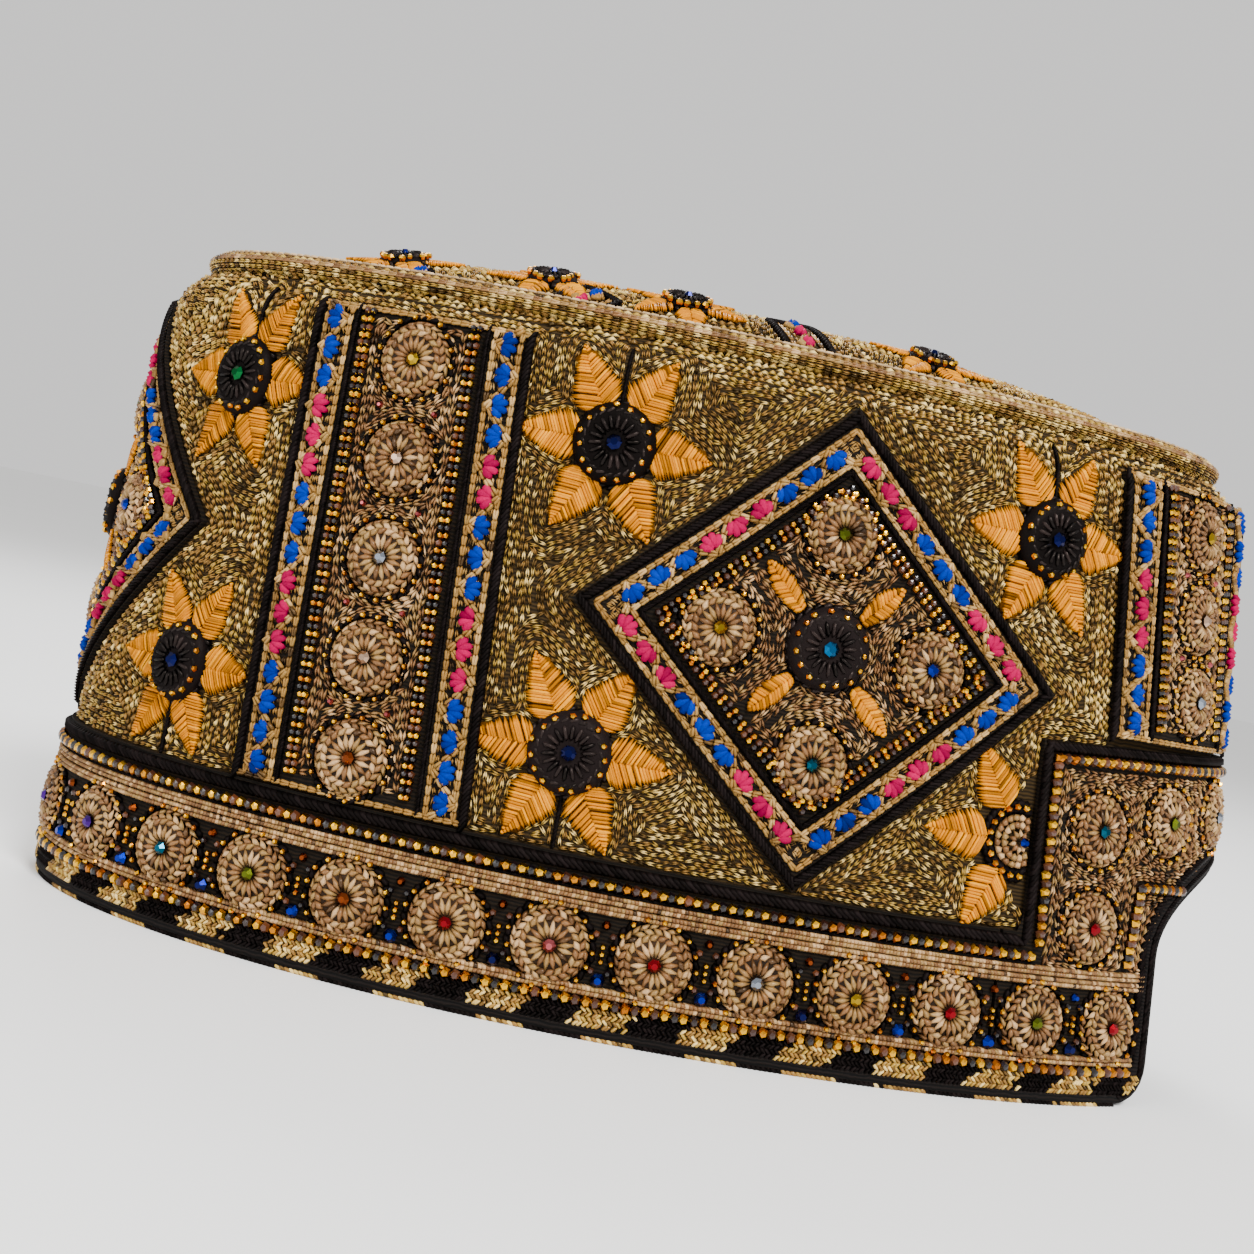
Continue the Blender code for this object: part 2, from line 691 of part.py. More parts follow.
def main():
    """Builds the cap."""
    for obj in list(bpy.data.objects):
        bpy.data.objects.remove(obj)
    col = collection("balochi_cap")
    work = collection("working_shapes")
    cloth = material("khaki_chain_stitch", (0.37, 0.25, 0.10), 0.6)
    crown = material("crown_chain_stitch", (0.38, 0.27, 0.12), 0.6)
    tan = material("tan_rosette_braid", (0.44, 0.29, 0.16), 0.55)
    edge = material("black_tan_binding", (0.06, 0.045, 0.04), 0.7)
    piping = material("tan_piping", (0.46, 0.31, 0.16), 0.55)
    petal = material("orange_satin", (0.83, 0.40, 0.03), 0.4)
    boss = material("black_buttonhole", (0.03, 0.02, 0.022), 0.5)
    build_wall(cloth, col, work)
    build_crown(crown, col)
    build_piping(piping, col)
    build_binding(edge, col)
    build_rim_band(tan, col, work)
    build_front_panel(tan, col, work)
    for row in BANDS:
        for side in (1, -1):
            build_band(row, side, tan, col, work)
    for row in DIAMONDS:
        build_diamond(row, tan, boss, col, work)
    build_flowers(petal, boss, col)
    for obj in work.objects:
        obj.hide_render = True
        obj.display_type = "WIRE"


main()
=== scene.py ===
"""Looks of the embroidered cap: stitches, cords, beads, satin flowers, stage and camera."""
import math

import bmesh
import bpy
import numpy as np
from mathutils import Matrix, Vector


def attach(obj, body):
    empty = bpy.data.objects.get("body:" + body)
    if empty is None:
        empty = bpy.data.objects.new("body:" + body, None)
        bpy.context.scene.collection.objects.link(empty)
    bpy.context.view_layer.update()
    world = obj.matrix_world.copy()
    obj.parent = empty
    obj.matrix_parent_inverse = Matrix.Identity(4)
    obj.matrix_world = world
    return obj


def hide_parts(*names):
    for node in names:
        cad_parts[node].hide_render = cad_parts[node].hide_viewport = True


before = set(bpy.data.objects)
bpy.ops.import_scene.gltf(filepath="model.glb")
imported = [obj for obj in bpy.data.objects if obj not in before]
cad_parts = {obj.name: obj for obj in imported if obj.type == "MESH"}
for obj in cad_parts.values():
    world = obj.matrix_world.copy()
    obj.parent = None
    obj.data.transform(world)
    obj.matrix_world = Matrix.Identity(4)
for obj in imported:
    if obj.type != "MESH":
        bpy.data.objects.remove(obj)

bl_info = {
    "name": "Embroidered cap",
    "version": (1, 0, 0),
    "blender": (4, 5, 0),
    "location": "3D View > Sidebar > Cap",
    "description": "Stitches, beads and cords laid on the cap of the packed frame",
    "category": "Add Mesh",
}

# The wall's outline, as the part's source has it, in pitches of the rim rosettes
PITCH = 0.018
FRONT_REACH = 6.925
BACK_REACH = 6.250
HALF_WIDTH = 3.067
FRONT_TAPER = 0.817
BACK_TAPER = 0.280
WIDTH_TAPER = 0.380
SIDE_BULGE = 0.020
FRONT_ROUNDNESS = 2.029
BACK_ROUNDNESS = 1.933
WALL_HEIGHT = 6.742
SHOULDER_RADIUS = 0.464
SHOULDER_TURN = 0.96
HALF_ROUND = 15.5
CROWN_RISE = 0.66
CROWN_POWER = 4.0
BOX_CENTRE_SHIFT = 0.0037
TABLE_POINTS = 721
TABLE_ROWS = 90

# Thicknesses in metres
CLOTH = 0.0024
GAP = 0.00035
TRIM_THICK = 0.0010
BINDING_SKIN = 0.0010
BINDING_PROUD = 0.0014
BINDING_LEG = 0.0040
NOTCH_LEG = 0.0020
SEAM_GAP = 0.0005
PIPING_RADIUS = 0.0017
CORD_SQUASH = 1.5
ON_PLATE = GAP + TRIM_THICK

# Layout in pitches
NOTCH_HALF = 2.15
NOTCH_JAMB = 1.55
NOTCH_TOP = 2.60
NOTCH_CORNER = 0.35
BAND_TOP = 1.68
RIM_ROSETTE = 0.81
PANEL_HALF = 4.00
PANEL_TOP = 3.62
PANEL_CROWN = 0.13
RIM_SPLIT = 4.26
STRIP_TOP = 6.46
FIELD_MIDDLE = 4.07
FIRST_RIM_ROSETTE = 2.78
LAST_RIM_GAP = 0.56
BACK_PULL = 0.24
DIAMOND_HALF_HEIGHT = 2.36
ROSETTE_OUT = 1.12
CHAIN_LENGTH = 0.10
CHAIN_WIDTH = 0.07
PETAL_START = 0.39
PETAL_END = 1.02
PETAL_WIDTH = 0.26
TRIANGLE_TALL = 0.25
TRIANGLE_STEP = 0.33
FIELD_STEP = 0.024
GROUND_SPACING = 0.050
FILL_SPACING = 0.054

# Ways from a diamond's middle to its rosettes, size of the crown flowers against those of the wall,
# tan share of a block of the binding, and number of whole flowers
ROSETTE_WAYS = ((1, 0), (-1, 0), (0, 1), (0, -1))
CROWN_SCALE = 0.66
TAN_BLOCK = 0.51
FLOWER_COUNT = 20

# Rows along the rim band, each from its start at a height: plaits, single beads, black cords
RIM_PLAITS = ((NOTCH_HALF + 0.22, 0.445, 0.115), (NOTCH_HALF + 0.16, 1.225, 0.105),
              (NOTCH_HALF + 0.16, 1.325, 0.105))
RIM_BEADS = ((NOTCH_HALF + 0.22, 0.348, 0.19), (PANEL_HALF - 0.17, 1.455, 0.17))
RIM_CORDS = ((PANEL_HALF - 0.15, 1.385, 0.05, 0.0009), (PANEL_HALF + 0.04, 1.595, 0.15, 0.0012))

# Places across an upright band: out from its middle, and for the last one in from its edge
BAND_BEADS = 0.60
BAND_CORD = 0.735
BAND_CHAIN = 0.815
BAND_TRIANGLES = 0.845
BAND_EDGE_CHAIN = 0.10

# Places in from the edge of a diamond, with the widths of its cords. The last two are the height of
# its triangles and the gap at its corners
DIAMOND_CORDS = ((0.06, 0.12), (0.47, 0.06))
DIAMOND_CHAINS = (0.16, 0.405)
DIAMOND_TRIANGLES = 0.155
DIAMOND_BEADS = 0.60
DIAMOND_FILL = 0.69
DIAMOND_STRIP = 0.25
DIAMOND_CORNER = 0.22

# A strip of the crown: its outer end as a share of the way to the seam, and places across it
CROWN_STRIP_END = 0.985
CROWN_STRIP_HALF = 0.29
CROWN_CORD = 0.24
CROWN_CHAIN = 0.15
CROWN_TRIANGLES = 0.085

# The four lobes of a triangle: turn in degrees and length
LOBES = ((-45, 0.18), (-15, 0.20), (15, 0.20), (45, 0.18))

# One row for each upright band: place, lean, half width, foot, rosettes, first rosette above the foot
BANDS = (
    {"name": "side_band", "s": 11.14, "lean": 0.06, "half": 1.20, "foot": 1.735, "count": 5,
     "first": 0.385, "outer": "BBBPPPBBBPPPBBBB", "inner": "BBBBPPBBBPPPBBBB"},
    {"name": "front_band", "s": 1.83, "lean": 0.04, "half": 1.30, "foot": 3.805, "count": 3,
     "first": 0.475, "outer": "BBBPPPBBB", "inner": "BBBPPPBBB"},
)
DIAMONDS = (
    {"name": "diamond_right", "s": 6.55, "half": 2.62},
    {"name": "diamond_left", "s": -6.55, "half": 2.62},
    {"name": "diamond_back", "s": 15.5, "half": 2.20},
)
# Triangles along the diamond's sides, from the corner where each side starts
DIAMOND_CHART = {"upper_back": "BBBPPPBBB", "upper_front": "PPPBBBPPP",
                 "lower_front": "BBBPPPBBB", "lower_back": "PPPBBBPPP"}
FLOWERS = (
    {"s": 9.03, "h": 5.60, "wide": 1.0, "stem": 1},
    {"s": 8.92, "h": 2.612, "wide": 1.0, "stem": -1},
    {"s": 4.15, "h": 5.60, "wide": 0.97, "stem": 1},
    {"s": 13.26, "h": 5.60, "wide": 0.84, "stem": 1},
    {"s": 13.20, "h": 2.636, "wide": 0.84, "stem": -1},
)
CUT_FLOWER = {"s": 4.18, "h": 2.564, "wide": 1.0, "stem": 0}
CROWN_FLOWERS = (
    {"s": 4.30, "r": 0.70},
    {"s": 8.90, "r": 0.68},
    {"s": 11.30, "r": 0.70},
    {"s": 13.70, "r": 0.76},
)
CROWN_STRIPS = (
    {"s": 6.9, "inner": 0.62, "chart": "BPPB"},
    {"s": 10.1, "inner": 0.78, "chart": "BPB"},
    {"s": 12.5, "inner": 0.85, "chart": "BPB"},
)

# Colours of the beads and stones, and the stones of the rosettes in order
GOLD = np.array([0.88, 0.47, 0.012])
GOLD_RED = np.array([0.45, 0.13, 0.006])
GLASS_BLACK = np.array([0.003, 0.002, 0.003])
GLASS_BROWN = np.array([0.10, 0.03, 0.01])
STONES = {
    "violet": (0.05, 0.008, 0.16), "teal": (0.0, 0.06, 0.10), "olive": (0.08, 0.10, 0.004),
    "blue": (0.0, 0.012, 0.26), "amber": (0.16, 0.03, 0.002), "red": (0.20, 0.0, 0.006),
    "pearl": (0.50, 0.34, 0.24), "clear": (0.22, 0.25, 0.30), "yellow": (0.32, 0.20, 0.005),
    "sky": (0.0, 0.10, 0.26), "navy": (0.002, 0.004, 0.06), "green": (0.0, 0.09, 0.02),
    "rose": (0.36, 0.07, 0.08),
}
RIM_STONES = ("red", "olive", "red", "yellow", "clear", "red", "rose", "red", "amber", "olive", "teal",
              "violet", "violet")
BAND_STONES = ("amber", "pearl", "clear", "pearl", "yellow")
PANEL_STONES = ("yellow", "clear", "olive", "teal", "red")
DIAMOND_STONES = ("yellow", "blue", "olive", "teal")

# Rows of stitches along the seam cord: angle round it in radians, and kind
CORD_ROWS = ((0.2, "ground"), (0.7, "ground"), (1.2, "chain"), (1.75, "line"), (2.2, "ground"),
             (2.6, "chain"), (3.0, "ground"), (3.45, "ground"), (3.9, "ground"), (4.3, "ground"))

# Floor and lamps, in metres. Lamps: name, place, width and power in watts
LAMP_AIM = (0.0, 0.0, 0.07)
FLOOR_REACH = 40.0
FLOOR_DROP = 0.0004
LAMPS = (("key", (-0.85, -0.35, 0.95), 0.35, 26.0), ("fill", (-0.7, 0.9, 0.45), 0.6, 6.0),
         ("rim", (0.7, 0.1, 0.9), 0.5, 8.0))

# The camera, in pitches and degrees, as the photograph's perspective gives it
CAMERA_DISTANCE = 18.021
CAMERA_HEIGHT = 4.233
CAMERA_YAW = 5.141
CAMERA_PITCH = 1.258
CAMERA_ROLL = 11.633
CAMERA_ASIDE = 1.295
CAMERA_LENS = 45.2

RNG = np.random.default_rng(11)


# The cap's surfaces

def outline_at(h):
    """Half outline of the wall at height h, from the front tip round to the back tip."""
    v = h / WALL_HEIGHT
    inset = 0.0
    if h > WALL_HEIGHT - SHOULDER_RADIUS:
        q = (h - WALL_HEIGHT + SHOULDER_RADIUS) / SHOULDER_RADIUS
        inset = SHOULDER_RADIUS * (1 - math.sqrt(max(0.0, 1 - q * q * SHOULDER_TURN)))
    swell = SIDE_BULGE * 4 * v * (1 - v) - inset
    t = np.linspace(0, math.pi, TABLE_POINTS)
    c = np.cos(t)
    n = np.where(c >= 0, FRONT_ROUNDNESS, BACK_ROUNDNESS)
    reach = np.where(c >= 0, FRONT_REACH - FRONT_TAPER * v + swell, BACK_REACH - BACK_TAPER * v + swell)
    x = reach * np.sign(c) * np.abs(c) ** (2 / n)
    y = (HALF_WIDTH - WIDTH_TAPER * v + swell) * np.abs(np.sin(t)) ** (2 / n)
    y[-1] = 0.0
    return x, y


def outline_table():
    """Points of the half outline at even shares of its length, one row for each height."""
    heights = WALL_HEIGHT * np.sin(np.linspace(0, math.pi / 2, TABLE_ROWS))
    rows = []
    for h in heights:
        x, y = outline_at(h)
        run = np.concatenate([[0], np.cumsum(np.hypot(np.diff(x), np.diff(y)))])
        share = np.linspace(0, run[-1], TABLE_POINTS)
        rows.append(np.stack([np.interp(share, run, x), np.interp(share, run, y)], 1))
    return heights, np.array(rows)


HEIGHTS, TABLE = outline_table()


def unit(a):
    """Rows of a as unit vectors."""
    return a / np.maximum(np.linalg.norm(a, axis=-1, keepdims=True), 1e-12)


class Wall:
    """The wall: u is the place round the cap and v the height, both in pitches."""

    @staticmethod
    def point(u, v):
        u = (np.asarray(u, float) + HALF_ROUND) % (2 * HALF_ROUND) - HALF_ROUND
        side = np.where(u > 0, -1.0, 1.0)
        column = np.abs(u) / HALF_ROUND * (TABLE_POINTS - 1)
        j = np.clip(column.astype(int), 0, TABLE_POINTS - 2)
        level = np.clip(v, 0.0, WALL_HEIGHT)
        i = np.clip(np.searchsorted(HEIGHTS, level, side="right") - 1, 0, TABLE_ROWS - 2)
        a = ((level - HEIGHTS[i]) / (HEIGHTS[i + 1] - HEIGHTS[i]))[..., None]
        b = (column - j)[..., None]
        low = TABLE[i, j] * (1 - b) + TABLE[i, j + 1] * b
        high = TABLE[i + 1, j] * (1 - b) + TABLE[i + 1, j + 1] * b
        xy = low * (1 - a) + high * a
        return np.stack([side * xy[..., 1] * PITCH, -xy[..., 0] * PITCH + BOX_CENTRE_SHIFT,
                         np.asarray(v, float) * PITCH], -1)

    @staticmethod
    def normal(u, v):
        e = 0.04
        level = np.clip(v, e, WALL_HEIGHT - e)
        along = Wall.point(u + e, level) - Wall.point(u - e, level)
        up = Wall.point(u, level + e) - Wall.point(u, level - e)
        n = unit(np.cross(up, along))
        n[..., 2] *= np.clip((np.asarray(v) - 0.5) / 1.0, 0.0, 1.0)
        return unit(n)


def crown_edge():
    """The crown's edge as angles and reaches about its middle, and that middle."""
    front = Wall.point(np.array([0.0]), np.array([WALL_HEIGHT]))[0]
    back = Wall.point(np.array([HALF_ROUND]), np.array([WALL_HEIGHT]))[0]
    middle = (front + back) / 2
    s = np.linspace(-HALF_ROUND, HALF_ROUND, 1441)[:-1]
    top = np.full_like(s, WALL_HEIGHT)
    edge = Wall.point(s, top)
    ahead = Wall.point(s + 0.05, top) - Wall.point(s - 0.05, top)
    inward = unit(np.cross(ahead, np.array([0.0, 0.0, 1.0])))
    edge = edge + inward * SEAM_GAP - middle
    return s, edge[:, 0] / PITCH, edge[:, 1] / PITCH, middle


EDGE_S, EDGE_X, EDGE_Y, MIDDLE = crown_edge()
EDGE_TURN = np.arctan2(EDGE_Y, EDGE_X)
EDGE_ORDER = np.argsort(EDGE_TURN)
EDGE_TURNS = EDGE_TURN[EDGE_ORDER]
EDGE_REACH = np.hypot(EDGE_X, EDGE_Y)[EDGE_ORDER]


class Crown:
    """The crown: u and v are the place in plan about its middle, in pitches."""

    @staticmethod
    def share(u, v):
        reach = np.interp(np.arctan2(v, u), EDGE_TURNS, EDGE_REACH, period=2 * math.pi)
        return np.clip(np.hypot(u, v) / reach, 0.0, 1.0)

    @staticmethod
    def point(u, v):
        u = np.asarray(u, float)
        v = np.asarray(v, float)
        z = WALL_HEIGHT + CROWN_RISE * (1 - Crown.share(u, v) ** CROWN_POWER)
        return np.stack([MIDDLE[0] + u * PITCH, MIDDLE[1] + v * PITCH, z * PITCH], -1)

    @staticmethod
    def normal(u, v):
        e = 0.05
        across = Crown.point(u + e, v) - Crown.point(u - e, v)
        along = Crown.point(u, v + e) - Crown.point(u, v - e)
        return unit(np.cross(across, along))

    @staticmethod
    def place(s, r):
        """Plan place of a share r of the way out to the seam at s."""
        return (float(np.interp(s, EDGE_S, EDGE_X)) * r, float(np.interp(s, EDGE_S, EDGE_Y)) * r)


class Piping:
    """The seam cord: u is the place round the cap, v the angle round the cord in radians."""

    @staticmethod
    def spine(u):
        top = np.full_like(u, WALL_HEIGHT)
        seam = Wall.point(u, top)
        ahead = unit(Wall.point(u + 0.05, top) - Wall.point(u - 0.05, top))
        inward = unit(np.cross(ahead, np.array([0.0, 0.0, 1.0])))
        up = unit(Wall.normal(u, top) + np.array([0.0, 0.0, 1.0]) * 1.2)
        centre = seam + inward * SEAM_GAP * 0.5 + up * (PIPING_RADIUS + GAP)
        side = unit(np.cross(ahead, up))
        return centre, side, up

    @staticmethod
    def point(u, v):
        u, v = np.broadcast_arrays(np.asarray(u, float), np.asarray(v, float))
        centre, side, up = Piping.spine(u)
        round_it = side * np.cos(v)[..., None] * CORD_SQUASH + up * np.sin(v)[..., None]
        return centre + round_it * PIPING_RADIUS

    @staticmethod
    def normal(u, v):
        u, v = np.broadcast_arrays(np.asarray(u, float), np.asarray(v, float))
        side, up = Piping.spine(u)[1:]
        return unit(side * np.cos(v)[..., None] / CORD_SQUASH + up * np.sin(v)[..., None])


def frames(surface, u, v, du, dv, d):
    """Places and unit directions (along, across, out) of things that lie on a surface."""
    e = 0.02
    base = surface.point(u, v)
    n = surface.normal(u, v)
    eu = (surface.point(u + e, v) - surface.point(u - e, v)) / (2 * e)
    ev = (surface.point(u, v + e) - surface.point(u, v - e)) / (2 * e)
    t = unit(eu * du[:, None] + ev * dv[:, None])
    b = unit(np.cross(n, t))
    return base + n * d[:, None], t, b, np.cross(t, b)


class Pile:
    """Things of one kind laid on the cap: where, which way, how large and in what colour."""

    def __init__(self):
        self.rows = []

    def add(self, surface, u, v, du, dv, size, d=0.0, tint=(0.5, 0.5, 0.5), mirror=True):
        """Adds things. size is (length, width, height) in metres, each a number or an array."""
        u = np.atleast_1d(np.asarray(u, float))
        n = len(u)
        v, du, dv, length, width, height, d = (np.broadcast_to(np.asarray(a, float), (n,))
                                               for a in (v, du, dv, *size, d))
        tint = np.broadcast_to(np.asarray(tint, float), (n, 3))
        for side in ((1, -1) if mirror else (1,)):
            p, t, b, out = frames(surface, u * side, v, du * side, dv, d)
            self.rows.append((p, t, b, out, np.stack([length, width, height], 1), tint))

    def arrays(self):
        """Everything that was added, joined."""
        return [np.concatenate([row[k] for row in self.rows]) for k in range(6)]


# Paths

def walk(path, step, closed=False):
    """Even places along a path: middles, directions and the step that fits."""
    path = np.asarray(path, float)
    if closed:
        path = np.concatenate([path, path[:1]])
    leg = np.diff(path, axis=0)
    run = np.concatenate([[0], np.cumsum(np.hypot(leg[:, 0], leg[:, 1]))])
    count = max(1, int(round(run[-1] / step)))
    at = (np.arange(count) + 0.5) * run[-1] / count
    k = np.clip(np.searchsorted(run, at, side="right") - 1, 0, len(leg) - 1)
    share = (at - run[k]) / np.maximum(run[k + 1] - run[k], 1e-9)
    spot = path[k] + leg[k] * share[:, None]
    way = unit(leg[k])
    return spot[:, 0], spot[:, 1], way[:, 0], way[:, 1], run[-1] / count


def circle(s, h, radius, count, wide=1.0):
    """Places round a circle with their directions round it and their angles."""
    a = 2 * math.pi * (np.arange(count) + 0.5) / count
    return s + radius * wide * np.cos(a), h + radius * np.sin(a), -np.sin(a) * wide, np.cos(a), a


def chain(pile, path, length, width, d, surface=Wall, closed=False, mirror=True, height=0.0006):
    """Chain stitch links head to tail along a path, in pitches."""
    u, v, du, dv, step = walk(path, length, closed)
    pile.add(surface, u, v, du, dv, (step * PITCH * 1.3, width * PITCH, height), d, mirror=mirror)


def turned(du, dv, turn):
    """Directions turned by an angle in the surface."""
    c, s = math.cos(turn), math.sin(turn)
    return du * c - dv * s, du * s + dv * c


def plait(pile, path, width, d):
    """A flat braid along a path: two rows of strands slanting against each other."""
    for way in (1, -1):
        u, v, du, dv = walk(path, width * 0.36)[:4]
        off = width * 0.23 * way
        su, sv = turned(du, dv, 0.62 * way)
        pile.add(Wall, u - dv * off, v + du * off, su, sv, (width * PITCH, width * 0.52 * PITCH, 0.0011), d)


def rope(pile, path, width, d, surface=Wall, closed=False, mirror=True, height=0.0012):
    """A twisted cord along a path: slanting strands laid side by side."""
    u, v, du, dv = walk(path, width * 0.42, closed)[:4]
    su, sv = turned(du, dv, 0.55)
    pile.add(surface, u, v, su, sv, (width * 1.5 * PITCH, width * 0.62 * PITCH, height), d, mirror=mirror)


def seg_distance(u, v, a, b):
    """Distance of points from the segment between a and b."""
    ax, ay = a
    bx, by = b
    lx, ly = bx - ax, by - ay
    t = np.clip(((u - ax) * lx + (v - ay) * ly) / max(lx * lx + ly * ly, 1e-12), 0, 1)
    return np.hypot(u - ax - t * lx, v - ay - t * ly)


def poly_distance(u, v, poly):
    """Distance outside a closed outline, negative inside."""
    best = np.full(u.shape, 1e9)
    inside = np.zeros(u.shape, bool)
    for (ax, ay), (bx, by) in zip(poly, poly[1:] + poly[:1]):
        best = np.minimum(best, seg_distance(u, v, (ax, ay), (bx, by)))
        if ay != by:
            crosses = ((ay > v) != (by > v)) & (u < (bx - ax) * (v - ay) / (by - ay) + ax)
            inside ^= crosses
    return np.where(inside, -best, best)


def contour_rows(field, u0, v0, spacing):
    """Lines at even distances in a field of distances, as arrays of places."""
    level = field / spacing - 0.5
    floor = np.floor(level).astype(int)
    rows, columns = field.shape

    def crossings(a, b, fa, fb):
        k = np.maximum(fa, fb)
        hit = (np.abs(fa - fb) == 1) & (k >= 0)
        t = np.where(hit, (k - a) / np.where(a == b, 1, b - a), 0.0)
        return np.where(hit, k, -1), t

    kh, th = crossings(level[:, :-1], level[:, 1:], floor[:, :-1], floor[:, 1:])
    kv, tv = crossings(level[:-1], level[1:], floor[:-1], floor[1:])
    shift = rows * columns
    j, i = np.mgrid[0:rows - 1, 0:columns - 1]
    sides = [(kh[:-1], j * columns + i), (kh[1:], (j + 1) * columns + i),
             (kv[:, :-1], shift + j * columns + i), (kv[:, 1:], shift + j * columns + i + 1)]
    four = np.all([s[0] == sides[0][0] for s in sides], axis=0) & (sides[0][0] >= 0)
    links = {}
    for a in range(4):
        for b in range(a + 1, 4):
            same = (sides[a][0] == sides[b][0]) & (sides[a][0] >= 0)
            if (a, b) not in ((0, 2), (1, 3)):
                same &= ~four
            for x, y in zip(sides[a][1][same].tolist(), sides[b][1][same].tolist()):
                links.setdefault(x, []).append(y)
                links.setdefault(y, []).append(x)

    def place(e):
        if e < shift:
            return (u0 + (e % columns + th[e // columns, e % columns]) * FIELD_STEP,
                    v0 + e // columns * FIELD_STEP)
        e -= shift
        return (u0 + e % columns * FIELD_STEP,
                v0 + (e // columns + tv[e // columns, e % columns]) * FIELD_STEP)

    lines = []
    seen = set()
    starts = [e for e, near in links.items() if len(near) == 1] + list(links)
    for start in starts:
        if start in seen:
            continue
        seen.add(start)
        line = [start]
        while True:
            ahead = [e for e in links[line[-1]] if e not in seen]
            if not ahead:
                break
            seen.add(ahead[0])
            line.append(ahead[0])
        if len(line) > 3:
            lines.append(np.array([place(e) for e in line]))
    return lines


# Layout

def mirrored(poly):
    """The same outline on the other side."""
    return [(-s, h) for s, h in poly]


def band_centre(row, h):
    """Middle of an upright band at height h."""
    return row["s"] + row["lean"] * (h - FIELD_MIDDLE)


def band_line(row, offset, low=None, high=STRIP_TOP):
    """A line along an upright band at a sideways offset."""
    low = row["foot"] if low is None else low
    return [(band_centre(row, low) + offset, low), (band_centre(row, high) + offset, high)]


def band_corners(row, half, foot):
    """Corners of an upright band of a half width, from its foot up."""
    low, high = band_centre(row, foot), band_centre(row, STRIP_TOP)
    return [(low - half, foot), (low + half, foot), (high + half, STRIP_TOP), (high - half, STRIP_TOP)]


def band_heights(row):
    """Heights of a band's rosettes."""
    return np.linspace(row["foot"] + row["first"], STRIP_TOP - 0.44, row["count"])


def diamond_corners(row, inset=0.0):
    """Corners of a diamond, moved in by a distance: top, back, bottom, front."""
    half = row["half"]
    tall = DIAMOND_HALF_HEIGHT
    k = math.hypot(half, tall) / (half * tall)
    share = 1 - inset * k
    s0 = row["s"]
    return [(s0, FIELD_MIDDLE + tall * share), (s0 + half * share, FIELD_MIDDLE),
            (s0, FIELD_MIDDLE - tall * share), (s0 - half * share, FIELD_MIDDLE)]


def rim_places():
    """Places of the rim rosettes on one side."""
    last = HALF_ROUND - LAST_RIM_GAP
    count = int(last - FIRST_RIM_ROSETTE) + 1
    spare = last - (FIRST_RIM_ROSETTE + count - 1)
    return [FIRST_RIM_ROSETTE + k + spare * BACK_PULL ** (count - 1 - k) for k in range(count)]


def panel_rosettes():
    """Rosettes of the arched panel above the rim, right side and middle."""
    last = PANEL_HALF - 0.82
    top = PANEL_TOP - 0.50
    places = [(last * k / 3, top - 0.32 * (k / 3) ** 2) for k in range(4)]
    places.append((last, (RIM_ROSETTE + top - 0.32) / 2))
    return places


def panel_top(s, drop=0.0):
    """Height of the panel's upper edge at s."""
    return PANEL_TOP + PANEL_CROWN * (1 - (s / PANEL_HALF) ** 2) - drop


def step_path(inset):
    """The stepped border of the panel on the right side, from the rim up and over to the middle."""
    side = PANEL_HALF - inset
    path = [(side, BAND_TOP - inset), (side, panel_top(side, inset))]
    for k in range(1, 9):
        s = side * (1 - k / 8)
        path.append((s, panel_top(s, inset)))
    return path


def notch_edge(out=0.0):
    """Edge of the notch on the right side, from the rim up to the top middle, moved out."""
    rim = (BINDING_SKIN + GAP) / PITCH
    half = NOTCH_HALF + out
    corner = max(NOTCH_CORNER - out, 0.02)
    pts = []
    for k in range(7):
        a = math.pi / 2 * k / 6
        pts.append((half + corner * (1 - math.sin(a)), rim + corner * (1 - math.cos(a))))
    for k in range(1, 4):
        pts.append((half, rim + corner + (NOTCH_JAMB - rim - corner) * k / 4))
    for k in range(17):
        a = math.pi / 2 * k / 16
        pts.append((half * math.cos(a), NOTCH_JAMB + (NOTCH_TOP + out - NOTCH_JAMB) * math.sin(a)))
    return pts


def petal_width(t):
    """Half width of a petal at share t of its length."""
    t = np.asarray(t, float)
    reach = PETAL_START + (PETAL_END - PETAL_START) * t
    return np.minimum(0.285 * (1 - np.minimum(t, 1.0) ** 1.3) ** 0.85, 0.55 * reach)


def petal_poly(angle, s0, h0, wide, scale):
    """Outline of one petal, in pitches."""
    t = np.array([0.0, 0.25, 0.5, 0.75, 0.92, 1.0])
    r = PETAL_START + (PETAL_END - PETAL_START) * t
    w = petal_width(t)
    x = np.concatenate([r, r[:-1][::-1]]) * scale
    y = np.concatenate([w, -w[:-1][::-1]]) * scale
    c, n = math.cos(angle), math.sin(angle)
    return [(s0 + (a * c - b * n) * wide, h0 + a * n + b * c) for a, b in zip(x, y)]


# Materials

def principled(name):
    """A new material with its nodes: tree, shader."""
    mat = bpy.data.materials.new(name)
    mat.use_nodes = True
    tree = mat.node_tree
    return mat, tree, tree.nodes["Principled BSDF"]


def finish(shader, **values):
    """Sets plain values of the shader, each named in words joined by underscores."""
    for key, value in values.items():
        shader.inputs[key.replace("_", " ")].default_value = value


def ramp(tree, stops):
    """A colour ramp with the given (place, colour) stops."""
    node = tree.nodes.new("ShaderNodeValToRGB")
    band = node.color_ramp
    while len(band.elements) < len(stops):
        band.elements.new(0.5)
    for element, (place, colour) in zip(band.elements, stops):
        element.position = place
        element.color = (*colour, 1.0)
    return node


def mix_colour(tree, kind, factor, a, b):
    """Mixes two colour sockets. factor is a number or a socket."""
    node = tree.nodes.new("ShaderNodeMix")
    node.data_type = "RGBA"
    node.blend_type = kind
    if isinstance(factor, (int, float)):
        node.inputs[0].default_value = factor
    else:
        tree.links.new(factor, node.inputs[0])
    for socket, value in ((node.inputs[6], a), (node.inputs[7], b)):
        if isinstance(value, tuple):
            socket.default_value = (*value, 1.0)
        else:
            tree.links.new(value, socket)
    return node.outputs[2]


